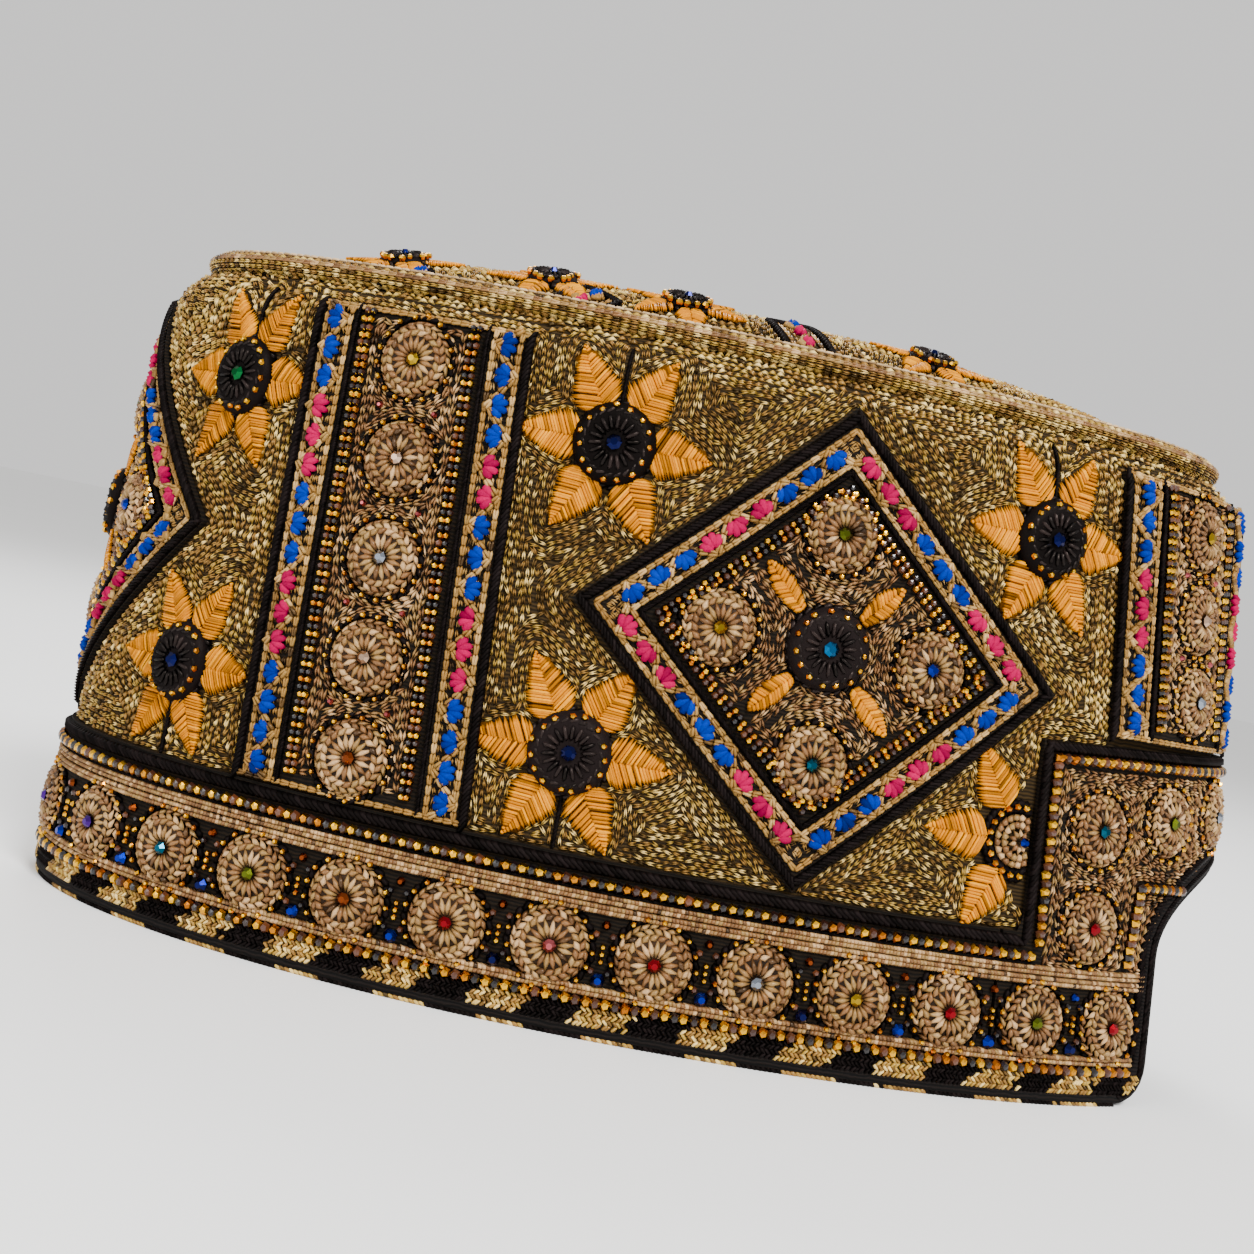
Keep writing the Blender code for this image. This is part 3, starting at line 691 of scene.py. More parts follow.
def noise(tree, scale, detail=2.0):
    """Noise on object coordinates."""
    coord = tree.nodes.new("ShaderNodeTexCoord")
    node = tree.nodes.new("ShaderNodeTexNoise")
    node.inputs["Scale"].default_value = scale
    node.inputs["Detail"].default_value = detail
    tree.links.new(coord.outputs["Object"], node.inputs["Vector"])
    return node


def bump(tree, shader, height, strength, distance):
    """Bumps the shader by a height socket."""
    node = tree.nodes.new("ShaderNodeBump")
    node.inputs["Strength"].default_value = strength
    node.inputs["Distance"].default_value = distance
    tree.links.new(height, node.inputs["Height"])
    tree.links.new(node.outputs["Normal"], shader.inputs["Normal"])


def thread_material(name, tones, roughness=0.4, shine=0.3, glint=(1.0, 1.0, 1.0)):
    """Twisted thread: each stitch has a tone of its own from the list, with fine fibres."""
    mat, tree, shader = principled(name)
    tone = tree.nodes.new("ShaderNodeAttribute")
    tone.attribute_name = "tone"
    cloud = noise(tree, 60.0, 3.0)
    lift = tree.nodes.new("ShaderNodeMath")
    lift.operation = "MULTIPLY_ADD"
    tree.links.new(cloud.outputs["Fac"], lift.inputs[0])
    lift.inputs[1].default_value = 0.5
    tree.links.new(tone.outputs["Fac"], lift.inputs[2])
    last = len(tones) - 1
    colours = ramp(tree, [(0.38 + 0.60 * k / last, tone) for k, tone in enumerate(tones)])
    tree.links.new(lift.outputs[0], colours.inputs["Fac"])
    fibre = noise(tree, 2600.0, 1.0)
    shade = mix_colour(tree, "MULTIPLY", 0.45, colours.outputs["Color"], fibre.outputs["Fac"])
    tree.links.new(shade, shader.inputs["Base Color"])
    finish(shader, Roughness=roughness, Specular_IOR_Level=shine, Specular_Tint=(*glint, 1.0))
    bump(tree, shader, fibre.outputs["Fac"], 0.5, 0.0001)
    return mat


def cloth_material(name, dark, light):
    """Plain woven cloth under the stitches."""
    mat, tree, shader = principled(name)
    coord = tree.nodes.new("ShaderNodeTexCoord")
    weave = tree.nodes.new("ShaderNodeTexWave")
    weave.inputs["Scale"].default_value = 450.0
    weave.inputs["Distortion"].default_value = 3.0
    weave.bands_direction = "Z"
    tree.links.new(coord.outputs["Object"], weave.inputs["Vector"])
    cloud = noise(tree, 1500.0)
    both = mix_colour(tree, "MULTIPLY", 0.8, weave.outputs["Color"], cloud.outputs["Color"])
    colours = ramp(tree, ((0.0, dark), (0.6, light)))
    tree.links.new(both, colours.inputs["Fac"])
    tree.links.new(colours.outputs["Color"], shader.inputs["Base Color"])
    finish(shader, Roughness=0.85, Specular_IOR_Level=0.1)
    bump(tree, shader, weave.outputs["Fac"], 0.35, 0.0002)
    return mat


def bead_material(name, metallic, roughness, coat):
    """Beads and stones, each in its own tint."""
    mat, tree, shader = principled(name)
    tint = tree.nodes.new("ShaderNodeAttribute")
    tint.attribute_name = "tint"
    cloud = noise(tree, 500.0, 1.0)
    spots = ramp(tree, ((0.3, (0.72, 0.66, 0.6)), (0.7, (1.0, 1.0, 1.0))))
    tree.links.new(cloud.outputs["Fac"], spots.inputs["Fac"])
    colour = mix_colour(tree, "MULTIPLY", 0.6, tint.outputs["Color"], spots.outputs["Color"])
    tree.links.new(colour, shader.inputs["Base Color"])
    finish(shader, Metallic=metallic, Roughness=roughness, Coat_Weight=coat, Coat_Roughness=0.05)
    return mat


# Small shapes that are laid by the hundred. Each is one unit long, wide and high.

def shape(name, verts, faces, smooth=True):
    """A small mesh object kept out of the scene."""
    mesh = bpy.data.meshes.new(name)
    mesh.from_pydata([tuple(v) for v in verts], [], [tuple(f) for f in faces])
    bm = bmesh.new()
    bm.from_mesh(mesh)
    bmesh.ops.remove_doubles(bm, verts=bm.verts, dist=1e-5)
    bmesh.ops.recalc_face_normals(bm, faces=bm.faces)
    for face in bm.faces:
        face.smooth = smooth
    bm.to_mesh(mesh)
    bm.free()
    return bpy.data.objects.new(name, mesh)


def spindle(start, end, width, height, rings, sides, bow=0.0):
    """Points and faces of a rounded strand between two places in plan."""
    sx, sy = start
    ex, ey = end
    length = math.hypot(ex - sx, ey - sy)
    tx, ty = (ex - sx) / length, (ey - sy) / length
    verts = [(sx, sy, 0.0)]
    for share, swell in rings:
        cx = sx + (ex - sx) * share - ty * bow * math.sin(math.pi * share)
        cy = sy + (ey - sy) * share + tx * bow * math.sin(math.pi * share)
        for k in range(sides):
            a = math.pi * 2 * k / sides + math.pi / 2
            across = math.cos(a) * width / 2 * swell
            lift = (math.sin(a) * 0.5 + 0.5) * height * swell
            verts.append((cx - ty * across, cy + tx * across, lift))
    verts.append((ex, ey, 0.0))
    last = len(verts) - 1
    faces = []
    for k in range(sides):
        m = (k + 1) % sides
        faces.append((0, 1 + k, 1 + m))
        for r in range(len(rings) - 1):
            a = 1 + r * sides
            b = a + sides
            faces.append((a + k, b + k, b + m, a + m))
        end_ring = 1 + (len(rings) - 1) * sides
        faces.append((end_ring + m, end_ring + k, last))
    return verts, faces


def joined(parts):
    """Points and faces of several parts together."""
    verts = []
    faces = []
    for v, f in parts:
        shift = len(verts)
        verts += v
        faces += [tuple(i + shift for i in face) for face in f]
    return verts, faces


def make_shapes():
    """The small shapes by name."""
    ring = ((0.45, 1.0),)
    link = joined([spindle((-0.5, 0.05), (0.5, 0.30), 0.44, 1.0, ring, 3),
                   spindle((-0.5, -0.05), (0.5, -0.30), 0.44, 1.0, ring, 3)])
    two = ((0.22, 0.85), (0.72, 0.9))
    fat = joined([spindle((-0.5, 0.04), (0.5, 0.24), 0.52, 1.0, two, 4, 0.06),
                  spindle((-0.5, -0.04), (0.5, -0.24), 0.52, 1.0, two, 4, -0.06)])
    strand = spindle((-0.5, 0.0), (0.5, 0.0), 1.0, 1.0, two, 3)
    fine = spindle((-0.5, 0.0), (0.5, 0.0), 1.0, 1.0, ((0.45, 1.0),), 4)
    lobe = spindle((-0.5, 0.0), (0.5, 0.0), 1.0, 1.0, ((0.18, 0.7), (0.55, 1.0), (0.88, 0.75)), 5)
    bead = lathe(((0.0, 1.0), (0.30, 0.92), (0.50, 0.50), (0.36, 0.0), (0.0, 0.0)), 5)
    stone = lathe(((0.0, 1.0), (0.24, 1.0), (0.5, 0.45), (0.4, 0.0), (0.0, 0.0)), 7)
    dome = lathe(((0.0, 0.86), (0.14, 0.90), (0.28, 1.0), (0.40, 0.92), (0.48, 0.55), (0.5, 0.0),
                  (0.0, 0.0)), 20)
    return {
        "link": shape("link", *link), "fat_link": shape("fat_link", *fat),
        "strand": shape("strand", *strand), "fine": shape("fine", *fine),
        "lobe": shape("lobe", *lobe),
        "bead": shape("bead", *bead, smooth=False),
        "stone": shape("stone", *stone, smooth=False), "dome": shape("dome", *dome),
    }


def lathe(profile, sides):
    """Points and faces of a profile turned about Z."""
    verts = []
    for r, z in profile:
        for k in range(sides):
            a = 2 * math.pi * k / sides
            verts.append((r * math.cos(a), r * math.sin(a), z))
    faces = []
    count = len(profile)
    for p in range(count - 1):
        q = p + 1
        for k in range(sides):
            m = (k + 1) % sides
            faces.append((p * sides + k, p * sides + m, q * sides + m, q * sides + k))
    clean = []
    for face in faces:
        points = []
        for i in face:
            key = i if profile[i // sides][0] > 0 else i // sides * sides
            if key not in points:
                points.append(key)
        if len(points) > 2:
            clean.append(tuple(points))
    return verts, clean


def laying_tree():
    """A node tree that lays a small shape on every point, by its turn and size."""
    tree = bpy.data.node_groups.new("lay_on_points", "GeometryNodeTree")
    face = tree.interface
    face.new_socket("Geometry", in_out="INPUT", socket_type="NodeSocketGeometry")
    face.new_socket("Shape", in_out="INPUT", socket_type="NodeSocketObject")
    face.new_socket("Size", in_out="INPUT", socket_type="NodeSocketFloat")
    face.new_socket("Finish", in_out="INPUT", socket_type="NodeSocketMaterial")
    face.new_socket("Geometry", in_out="OUTPUT", socket_type="NodeSocketGeometry")
    nodes = tree.nodes
    link = tree.links.new
    start = nodes.new("NodeGroupInput")
    info = nodes.new("GeometryNodeObjectInfo")
    info.inputs["As Instance"].default_value = True
    lay = nodes.new("GeometryNodeInstanceOnPoints")
    turn = nodes.new("GeometryNodeInputNamedAttribute")
    turn.data_type = "FLOAT_VECTOR"
    turn.inputs["Name"].default_value = "turn"
    size = nodes.new("GeometryNodeInputNamedAttribute")
    size.data_type = "FLOAT_VECTOR"
    size.inputs["Name"].default_value = "size"
    grow = nodes.new("ShaderNodeVectorMath")
    grow.operation = "SCALE"
    to_rotation = nodes.new("FunctionNodeEulerToRotation")
    real = nodes.new("GeometryNodeRealizeInstances")
    paint = nodes.new("GeometryNodeSetMaterial")
    end = nodes.new("NodeGroupOutput")
    link(start.outputs["Shape"], info.inputs["Object"])
    link(start.outputs["Geometry"], lay.inputs["Points"])
    link(info.outputs["Geometry"], lay.inputs["Instance"])
    link(turn.outputs["Attribute"], to_rotation.inputs[0])
    link(to_rotation.outputs[0], lay.inputs["Rotation"])
    link(size.outputs["Attribute"], grow.inputs[0])
    link(start.outputs["Size"], grow.inputs["Scale"])
    link(grow.outputs["Vector"], lay.inputs["Scale"])
    link(lay.outputs["Instances"], real.inputs["Geometry"])
    link(real.outputs["Geometry"], paint.inputs["Geometry"])
    link(start.outputs["Finish"], paint.inputs["Material"])
    link(paint.outputs["Geometry"], end.inputs["Geometry"])
    return tree


def socket_id(tree, name):
    """Identifier of a named input of a node tree."""
    return next(i.identifier for i in tree.interface.items_tree
                if i.item_type == "SOCKET" and i.in_out == "INPUT" and i.name == name)


KIT = {}


def lay_pile(name, pile, shape_name, mat, nodes=(), scale=1.0):
    """Lays a pile with Geometry Nodes and leaves a plain mesh in the scene."""
    p, t, b, out, size, tint = pile.arrays()
    turn = np.stack([np.arctan2(b[:, 2], out[:, 2]), -np.arcsin(np.clip(t[:, 2], -1, 1)),
                     np.arctan2(t[:, 1], t[:, 0])], 1)
    count = len(p)
    mesh = bpy.data.meshes.new(name + "_points")
    mesh.vertices.add(count)
    mesh.vertices.foreach_set("co", p.astype(np.float32).ravel())
    for key, data in (("turn", turn), ("size", size)):
        mesh.attributes.new(key, "FLOAT_VECTOR", "POINT").data.foreach_set(
            "vector", data.astype(np.float32).ravel())
    tone = np.clip(RNG.normal(0.5, 0.16, count), 0, 1).astype(np.float32)
    mesh.attributes.new("tone", "FLOAT", "POINT").data.foreach_set("value", tone)
    colour = np.concatenate([tint, np.ones((count, 1))], 1).astype(np.float32)
    mesh.attributes.new("tint", "FLOAT_COLOR", "POINT").data.foreach_set("color", colour.ravel())
    obj = in_scene(name, mesh)
    tree = KIT["tree"]
    mod = obj.modifiers.new("lay", "NODES")
    mod.node_group = tree
    mod[socket_id(tree, "Shape")] = KIT["shapes"][shape_name]
    mod[socket_id(tree, "Size")] = scale
    mod[socket_id(tree, "Finish")] = mat
    graph = bpy.context.evaluated_depsgraph_get()
    made = bpy.data.meshes.new_from_object(obj.evaluated_get(graph))
    obj.modifiers.remove(mod)
    obj.data = made
    bpy.data.meshes.remove(mesh)
    made.name = name
    for key in ("turn", "size"):
        if key in made.attributes:
            made.attributes.remove(made.attributes[key])
    settle(obj, nodes)


def in_scene(name, data):
    """A new object in the scene."""
    obj = bpy.data.objects.new(name, data)
    bpy.context.scene.collection.objects.link(obj)
    return obj


def settle(obj, nodes):
    """Rides a finished piece on the cap, and hides the parts of the model that it stands for."""
    if nodes:
        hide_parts(*nodes)
    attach(obj, "root")


def mesh_object(name, verts, faces, mats, nodes, face_mats=None):
    """A plain mesh piece."""
    mesh = bpy.data.meshes.new(name)
    mesh.from_pydata([tuple(v) for v in verts], [], [tuple(f) for f in faces])
    for mat in mats:
        mesh.materials.append(mat)
    if face_mats is not None:
        mesh.polygons.foreach_set("material_index", np.asarray(face_mats, dtype=np.int32))
    mesh.shade_smooth()
    settle(in_scene(name, mesh), nodes)


def grid_faces(rows, columns, shift=0, loop=False):
    """Faces of a grid of points, columns running round, and rows too in a loop."""
    faces = []
    for j in range(rows if loop else rows - 1):
        low = shift + j * columns
        high = shift + (j + 1) % rows * columns
        for i in range(columns):
            k = (i + 1) % columns
            faces.append((low + i, low + k, high + k, high + i))
    return faces


# Pieces

def wall_low(s):
    """Height of the cloth's lower edge at s, with the notch."""
    rim = (BINDING_SKIN + GAP) / PITCH
    a = abs(s)
    if a < NOTCH_HALF:
        return NOTCH_JAMB + (NOTCH_TOP - NOTCH_JAMB) * math.sqrt(1 - (a / NOTCH_HALF) ** 2)
    if a < NOTCH_HALF + NOTCH_CORNER:
        q = 1 - (a - NOTCH_HALF) / NOTCH_CORNER
        return rim + NOTCH_CORNER * (1 - math.sqrt(max(0.0, 1 - q * q)))
    return rim


def cloth_wall(mats):
    """The cloth wall with its lining, a closed shell."""
    half = [0.0, 0.25, 0.5, 0.75, 1.0, 1.25, 1.5, 1.7, 1.85, 1.97, 2.06, 2.12, 2.148, 2.152, 2.2, 2.28,
            2.38, 2.50, 2.65]
    half += list(np.arange(2.85, HALF_ROUND, 0.14)) + [HALF_ROUND]
    ring = half + [2 * HALF_ROUND - s for s in reversed(half[1:-1])]
    s = np.array(ring)
    signed = (s + HALF_ROUND) % (2 * HALF_ROUND) - HALF_ROUND
    low = np.array([wall_low(a) for a in signed])
    share = np.concatenate([np.linspace(0, 0.9, 26), np.linspace(0.9, 1.0, 14)[1:]])
    h = low[None, :] + (WALL_HEIGHT - low[None, :]) * share[:, None]
    u = np.broadcast_to(s, h.shape)
    face = Wall.point(u, h)
    back = face - Wall.normal(u, h) * CLOTH
    rows, columns = h.shape
    verts = np.concatenate([face.reshape(-1, 3), back.reshape(-1, 3)])
    count = rows * columns
    outer = [tuple(reversed(f)) for f in grid_faces(rows, columns)]
    inner = grid_faces(rows, columns, shift=count)
    edge = []
    for i in range(columns):
        k = (i + 1) % columns
        top = (rows - 1) * columns
        edge.append((i, k, count + k, count + i))
        edge.append((top + k, top + i, count + top + i, count + top + k))
    faces = outer + inner + edge
    slots = [0] * len(outer) + [1] * len(inner) + [0] * len(edge)
    mesh_object("wall_cloth_and_lining", verts, faces, mats, ("cap_wall_cloth",), slots)


def cloth_crown(mats):
    """The crown cloth with its lining, closed underneath."""
    s = (np.linspace(0, 2 * HALF_ROUND, 161)[:-1] + HALF_ROUND) % (2 * HALF_ROUND) - HALF_ROUND
    x = np.interp(s, EDGE_S, EDGE_X)
    y = np.interp(s, EDGE_S, EDGE_Y)
    share = np.array([1.0, 0.97, 0.94, 0.9, 0.85, 0.79, 0.72, 0.64, 0.55, 0.45, 0.34, 0.22, 0.1])
    u = x[None] * share[:, None]
    v = y[None] * share[:, None]
    face = Crown.point(u, v)
    back = face - Crown.normal(u * 0.999, v * 0.999) * CLOTH
    tip = np.array([MIDDLE[0], MIDDLE[1], (WALL_HEIGHT + CROWN_RISE) * PITCH])
    verts = np.concatenate([face.reshape(-1, 3), back.reshape(-1, 3), [tip, tip - [0, 0, CLOTH]]])
    rows, columns = u.shape
    count = rows * columns
    outer = [tuple(reversed(f)) for f in grid_faces(rows, columns)]
    inner = grid_faces(rows, columns, shift=count)
    last = (rows - 1) * columns
    for i in range(columns):
        k = (i + 1) % columns
        outer.append((last + k, last + i, 2 * count))
        inner.append((count + last + i, count + last + k, 2 * count + 1))
    edge = [(i, (i + 1) % columns, count + (i + 1) % columns, count + i) for i in range(columns)]
    faces = outer + inner + edge
    slots = [0] * len(outer) + [1] * len(inner) + [0] * len(edge)
    mesh_object("crown_cloth_and_lining", verts, faces, mats, ("crown_cloth",), slots)


def plate(name, outline, mat, node, bend=0.2):
    """A backing cloth under a trim, near black as painted shade in the gaps between its stitches, cut to
    its outline and wrapped onto the wall.
    """
    bm = bmesh.new()
    verts = [bm.verts.new((s, h, GAP)) for s, h in outline]
    bm.faces.new(verts)
    for axis, step in ((0, bend), (1, bend * 1.6)):
        low = min(p[axis] for p in outline)
        high = max(p[axis] for p in outline)
        cuts = int((high - low) / step)
        for k in range(1, cuts):
            co = [0, 0, 0]
            no = [0, 0, 0]
            co[axis] = low + (high - low) * k / cuts
            no[axis] = 1
            bmesh.ops.bisect_plane(bm, geom=bm.verts[:] + bm.edges[:] + bm.faces[:], dist=1e-6,
                                   plane_co=co, plane_no=no)
    made = bmesh.ops.extrude_face_region(bm, geom=bm.faces[:])
    for v in made["geom"]:
        if isinstance(v, bmesh.types.BMVert):
            v.co.z = ON_PLATE
    bmesh.ops.recalc_face_normals(bm, faces=bm.faces)
    co = np.array([v.co[:] for v in bm.verts])
    place = Wall.point(co[:, 0], co[:, 1]) + Wall.normal(co[:, 0], co[:, 1]) * co[:, 2:3]
    for v, p in zip(bm.verts, place):
        v.co = p
    bmesh.ops.triangulate(bm, faces=[f for f in bm.faces if len(f.verts) > 4])
    bmesh.ops.recalc_face_normals(bm, faces=bm.faces)
    mesh = bpy.data.meshes.new(name)
    bm.to_mesh(mesh)
    bm.free()
    mesh.materials.append(mat)
    settle(in_scene(name, mesh), (node,))


def backings(mat):
    """The cloth under every raised trim, near black as painted shade in the gaps between the stitches."""
    bottom = (BINDING_SKIN + GAP * 2 + BINDING_LEG) / PITCH
    clear = GAP / PITCH
    rim = [(RIM_SPLIT + clear, bottom), (2 * HALF_ROUND - RIM_SPLIT - clear, bottom),
           (2 * HALF_ROUND - RIM_SPLIT - clear, BAND_TOP), (RIM_SPLIT + clear, BAND_TOP)]
    plate("rim_band_backing", rim, mat, "rim_rosette_band", bend=0.16)
    edge = notch_edge((NOTCH_LEG + GAP * 1.6) / PITCH)
    right = [p for p in edge if p[1] > bottom]
    side = RIM_SPLIT - clear
    outer = [(0.0, panel_top(0.0))] + [(PANEL_HALF * k / 6, panel_top(PANEL_HALF * k / 6))
                                       for k in range(1, 7)]
    outer += [(PANEL_HALF, BAND_TOP), (side, BAND_TOP), (side, bottom), (right[0][0] + 0.03, bottom)]
    half = outer + right[1:]
    outline = half + mirrored(list(reversed(half[1:-1])))
    plate("arch_panel_backing", outline, mat, "front_arch_panel", bend=0.16)
    for row in BANDS:
        for sign, label in ((1, "right"), (-1, "left")):
            outline = [(s * sign, h) for s, h in band_corners(row, row["half"], row["foot"])]
            name = "%s_%s" % (row["name"], label)
            plate(name + "_backing", outline, mat, name)
    for row in DIAMONDS:
        plate(row["name"] + "_backing", diamond_corners(row), mat, row["name"])


def ground_field():
    """Rows of chain stitch for the open ground of the wall, right side."""
    u = np.arange(-0.12, HALF_ROUND + 0.12, FIELD_STEP)
    v = np.arange(1.5, WALL_HEIGHT + 0.05, FIELD_STEP)
    gu, gv = np.meshgrid(u, v)
    field = np.minimum(gv - BAND_TOP - 0.01, 6.78 - gv)
    blocks = [[(-PANEL_HALF, 0.5), (PANEL_HALF, 0.5)] + [(s, panel_top(s)) for s in
              np.linspace(PANEL_HALF, -PANEL_HALF, 13)]]
    for row in BANDS:
        blocks.append(band_corners(row, row["half"] + 0.01, row["foot"] - 0.1))
    for row in DIAMONDS:
        if row["s"] > 0:
            blocks.append(diamond_corners(row, -0.02))
    for row in FLOWERS + (CUT_FLOWER,):
        for k in range(6):
            blocks.append(petal_poly(math.radians(60 * k), row["s"], row["h"], row["wide"], 1.02))
        field = np.minimum(field, np.hypot((gu - row["s"]) / row["wide"], gv - row["h"]) - 0.41)
        if row["stem"]:
            end = 6.5 if row["stem"] > 0 else BAND_TOP
            gap = seg_distance(gu, gv, (row["s"], row["h"]), (row["s"], end)) - 0.035
            field = np.minimum(field, gap)
    for block in blocks:
        us = [p[0] for p in block]
        vs = [p[1] for p in block]
        reach = 2.2
        near = ((gu > min(us) - reach) & (gu < max(us) + reach)
                & (gv > min(vs) - reach) & (gv < max(vs) + reach))
        field[near] = np.minimum(field[near], poly_distance(gu[near], gv[near], block))
    return contour_rows(field, u[0], v[0], GROUND_SPACING)


def trim_fill():
    """Rows of tan chain stitch inside bands, diamonds and the arched panel, right side."""
    u = np.arange(-0.1, HALF_ROUND + 0.1, FIELD_STEP)
    v = np.arange(1.2, STRIP_TOP + 0.05, FIELD_STEP)
    gu, gv = np.meshgrid(u, v)
    field = np.full(gu.shape, -1.0)
    for row in BANDS:
        x = np.abs(gu - band_centre(row, gv))
        d = np.minimum(0.52 - x, np.minimum(gv - row["foot"] - 0.12, STRIP_TOP - 0.08 - gv))
        for h in band_heights(row):
            d = np.minimum(d, np.hypot(gu - band_centre(row, h), gv - h) - 0.40)
        field = np.maximum(field, d)
    for row in DIAMONDS:
        if row["s"] > 0:
            inner = diamond_corners(row, DIAMOND_FILL)
            near = np.abs(gu - row["s"]) < row["half"]
            d = np.full(gu.shape, -1.0)
            d[near] = -poly_distance(gu[near], gv[near], inner)
            squeeze = row["half"] / DIAMONDS[0]["half"]
            for a, b in ROSETTE_WAYS + ((0, 0),):
                d = np.minimum(d, np.hypot(gu - row["s"] - a * ROSETTE_OUT * squeeze,
                                           gv - FIELD_MIDDLE - b * ROSETTE_OUT) - 0.42)
            for leaf in diamond_leaves(row):
                d = np.minimum(d, seg_distance(gu, gv, leaf[0], leaf[1]) - 0.10)
            field = np.maximum(field, d)
    inner = step_path(0.27)
    edge = notch_edge(0.16)
    foot = 1.36
    top_braid = [p for p in edge if p[1] > foot]
    outer = [(inner[0][0], foot)] + inner[1:]
    low_edge = [(top_braid[0][0], foot)] + top_braid
    poly = outer + mirrored(reversed(outer[:-1])) + mirrored(low_edge) + list(reversed(low_edge[:-1]))
    near = np.abs(gu) < PANEL_HALF + 0.1
    d = np.full(gu.shape, -1.0)
    d[near] = -poly_distance(gu[near], gv[near], poly)
    for s, h in panel_rosettes():
        d = np.minimum(d, np.hypot(gu - s, gv - h) - 0.40)
    for a, b in (((2.62, foot), (2.50, 2.27)), ((2.50, 2.27), (1.75, 2.27))):
        d = np.minimum(d, seg_distance(gu, gv, a, b) - 0.07)
    field = np.maximum(field, d)
    return contour_rows(field, u[0], v[0], FILL_SPACING)


def diamond_leaves(row):
    """Start and end of the four small leaves of a diamond."""
    squeeze = row["half"] / DIAMONDS[0]["half"]
    leaves = []
    for a, b in ((1, 1), (1, -1), (-1, 1), (-1, -1)):
        leaves.append(((row["s"] + a * 0.33 * squeeze, FIELD_MIDDLE + b * 0.33),
                       (row["s"] + a * 0.72 * squeeze, FIELD_MIDDLE + b * 0.72)))
    return leaves


def crown_strip_line(strip, offset):
    """A strip's line on the crown from the seam towards the middle, moved sideways."""
    a, b, _, _, side = straight(Crown.place(strip["s"], CROWN_STRIP_END),
                                Crown.place(strip["s"], strip["inner"]))
    return [tuple(a + side * offset), tuple(b + side * offset)]


def crown_rows():
    """Rows of chain stitch for the open ground of the crown, wearer's right side."""
    u = np.arange(-3.0, 0.08, FIELD_STEP)
    v = np.arange(-6.2, 6.0, FIELD_STEP)
    gu, gv = np.meshgrid(u, v)
    edge = list(zip(EDGE_X[::6].tolist(), EDGE_Y[::6].tolist()))
    field = -poly_distance(gu, gv, edge) - 0.02
    for strip in CROWN_STRIPS:
        block = (crown_strip_line(strip, CROWN_STRIP_HALF)
                 + crown_strip_line(strip, -CROWN_STRIP_HALF)[::-1])
        field = np.minimum(field, poly_distance(gu, gv, block))
    for row in CROWN_FLOWERS:
        x, y = Crown.place(row["s"], row["r"])
        turn = crown_turn(row)
        for k in range(6):
            block = petal_poly(math.radians(60 * k) + turn, x, y, 1.0, CROWN_SCALE * 1.02)
            near = (np.abs(gu - x) < 1.6) & (np.abs(gv - y) < 1.6)
            field[near] = np.minimum(field[near], poly_distance(gu[near], gv[near], block))
        field = np.minimum(field, np.hypot(gu - x, gv - y) - 0.41 * CROWN_SCALE)
    return contour_rows(field, u[0], v[0], GROUND_SPACING)


def crown_turn(row):
    """Turn of a crown flower, with its upright pointing out to the seam."""
    x, y = Crown.place(row["s"], 1.0)
    a, b = Crown.place(row["s"], 0.9)
    return math.atan2(y - b, x - a) - math.pi / 2


def scatter(pile, surface, row, length, width, mirror=True, d=0.0):
    """Chain stitches along a row, each a little out of line."""
    u, v, du, dv, step = walk(row, length)
    count = len(u)
    turn = RNG.normal(0, 0.20, count) + (0.0 if count % 2 else math.pi)
    c = np.cos(turn)
    s = np.sin(turn)
    off = RNG.normal(0, 0.007, count)
    size = (step * PITCH * RNG.uniform(1.05, 1.5, count), width * RNG.uniform(0.8, 1.2, count),
            RNG.uniform(0.00045, 0.00085, count))
    pile.add(surface, u - dv * off, v + du * off, du * c - dv * s, dv * c + du * s, size, d,
             mirror=mirror)


def ground_stitches(mat, sizes, wall_rows, crown_field):
    """The khaki chain stitch on the wall's and the crown's open ground."""
    length = sizes.stitch_length / PITCH
    width = sizes.stitch_width
    for side, label in ((1, "right"), (-1, "left")):
        pile = Pile()
        for row in wall_rows:
            row = row * np.array([side, 1.0])
            scatter(pile, Wall, row, length, width, mirror=False)
        lay_pile("ground_chain_stitch_" + label, pile, "link", mat)
    pile = Pile()
    for row in crown_field:
        scatter(pile, Crown, row, length, width)
    lay_pile("crown_chain_stitch", pile, "link", mat)


def ring(pile, surface, s, h, radius, count, size, d, lean=None, wide=1.0, mirror=True, clip=None):
    """Threads round a circle. They lean out of its line, and without a lean they point outwards."""
    x, y, tx, ty, a = circle(s, h, radius, count, wide)
    if lean is None:
        tx, ty = np.cos(a) * wide, np.sin(a)
    else:
        tx, ty = tx + lean * np.cos(a), ty + lean * np.sin(a)
    keep = slice(None) if clip is None else x > clip
    length, width, height = size
    pile.add(surface, x[keep], y[keep], tx[keep], ty[keep], (length * PITCH, width * PITCH, height), d,
             mirror=mirror)


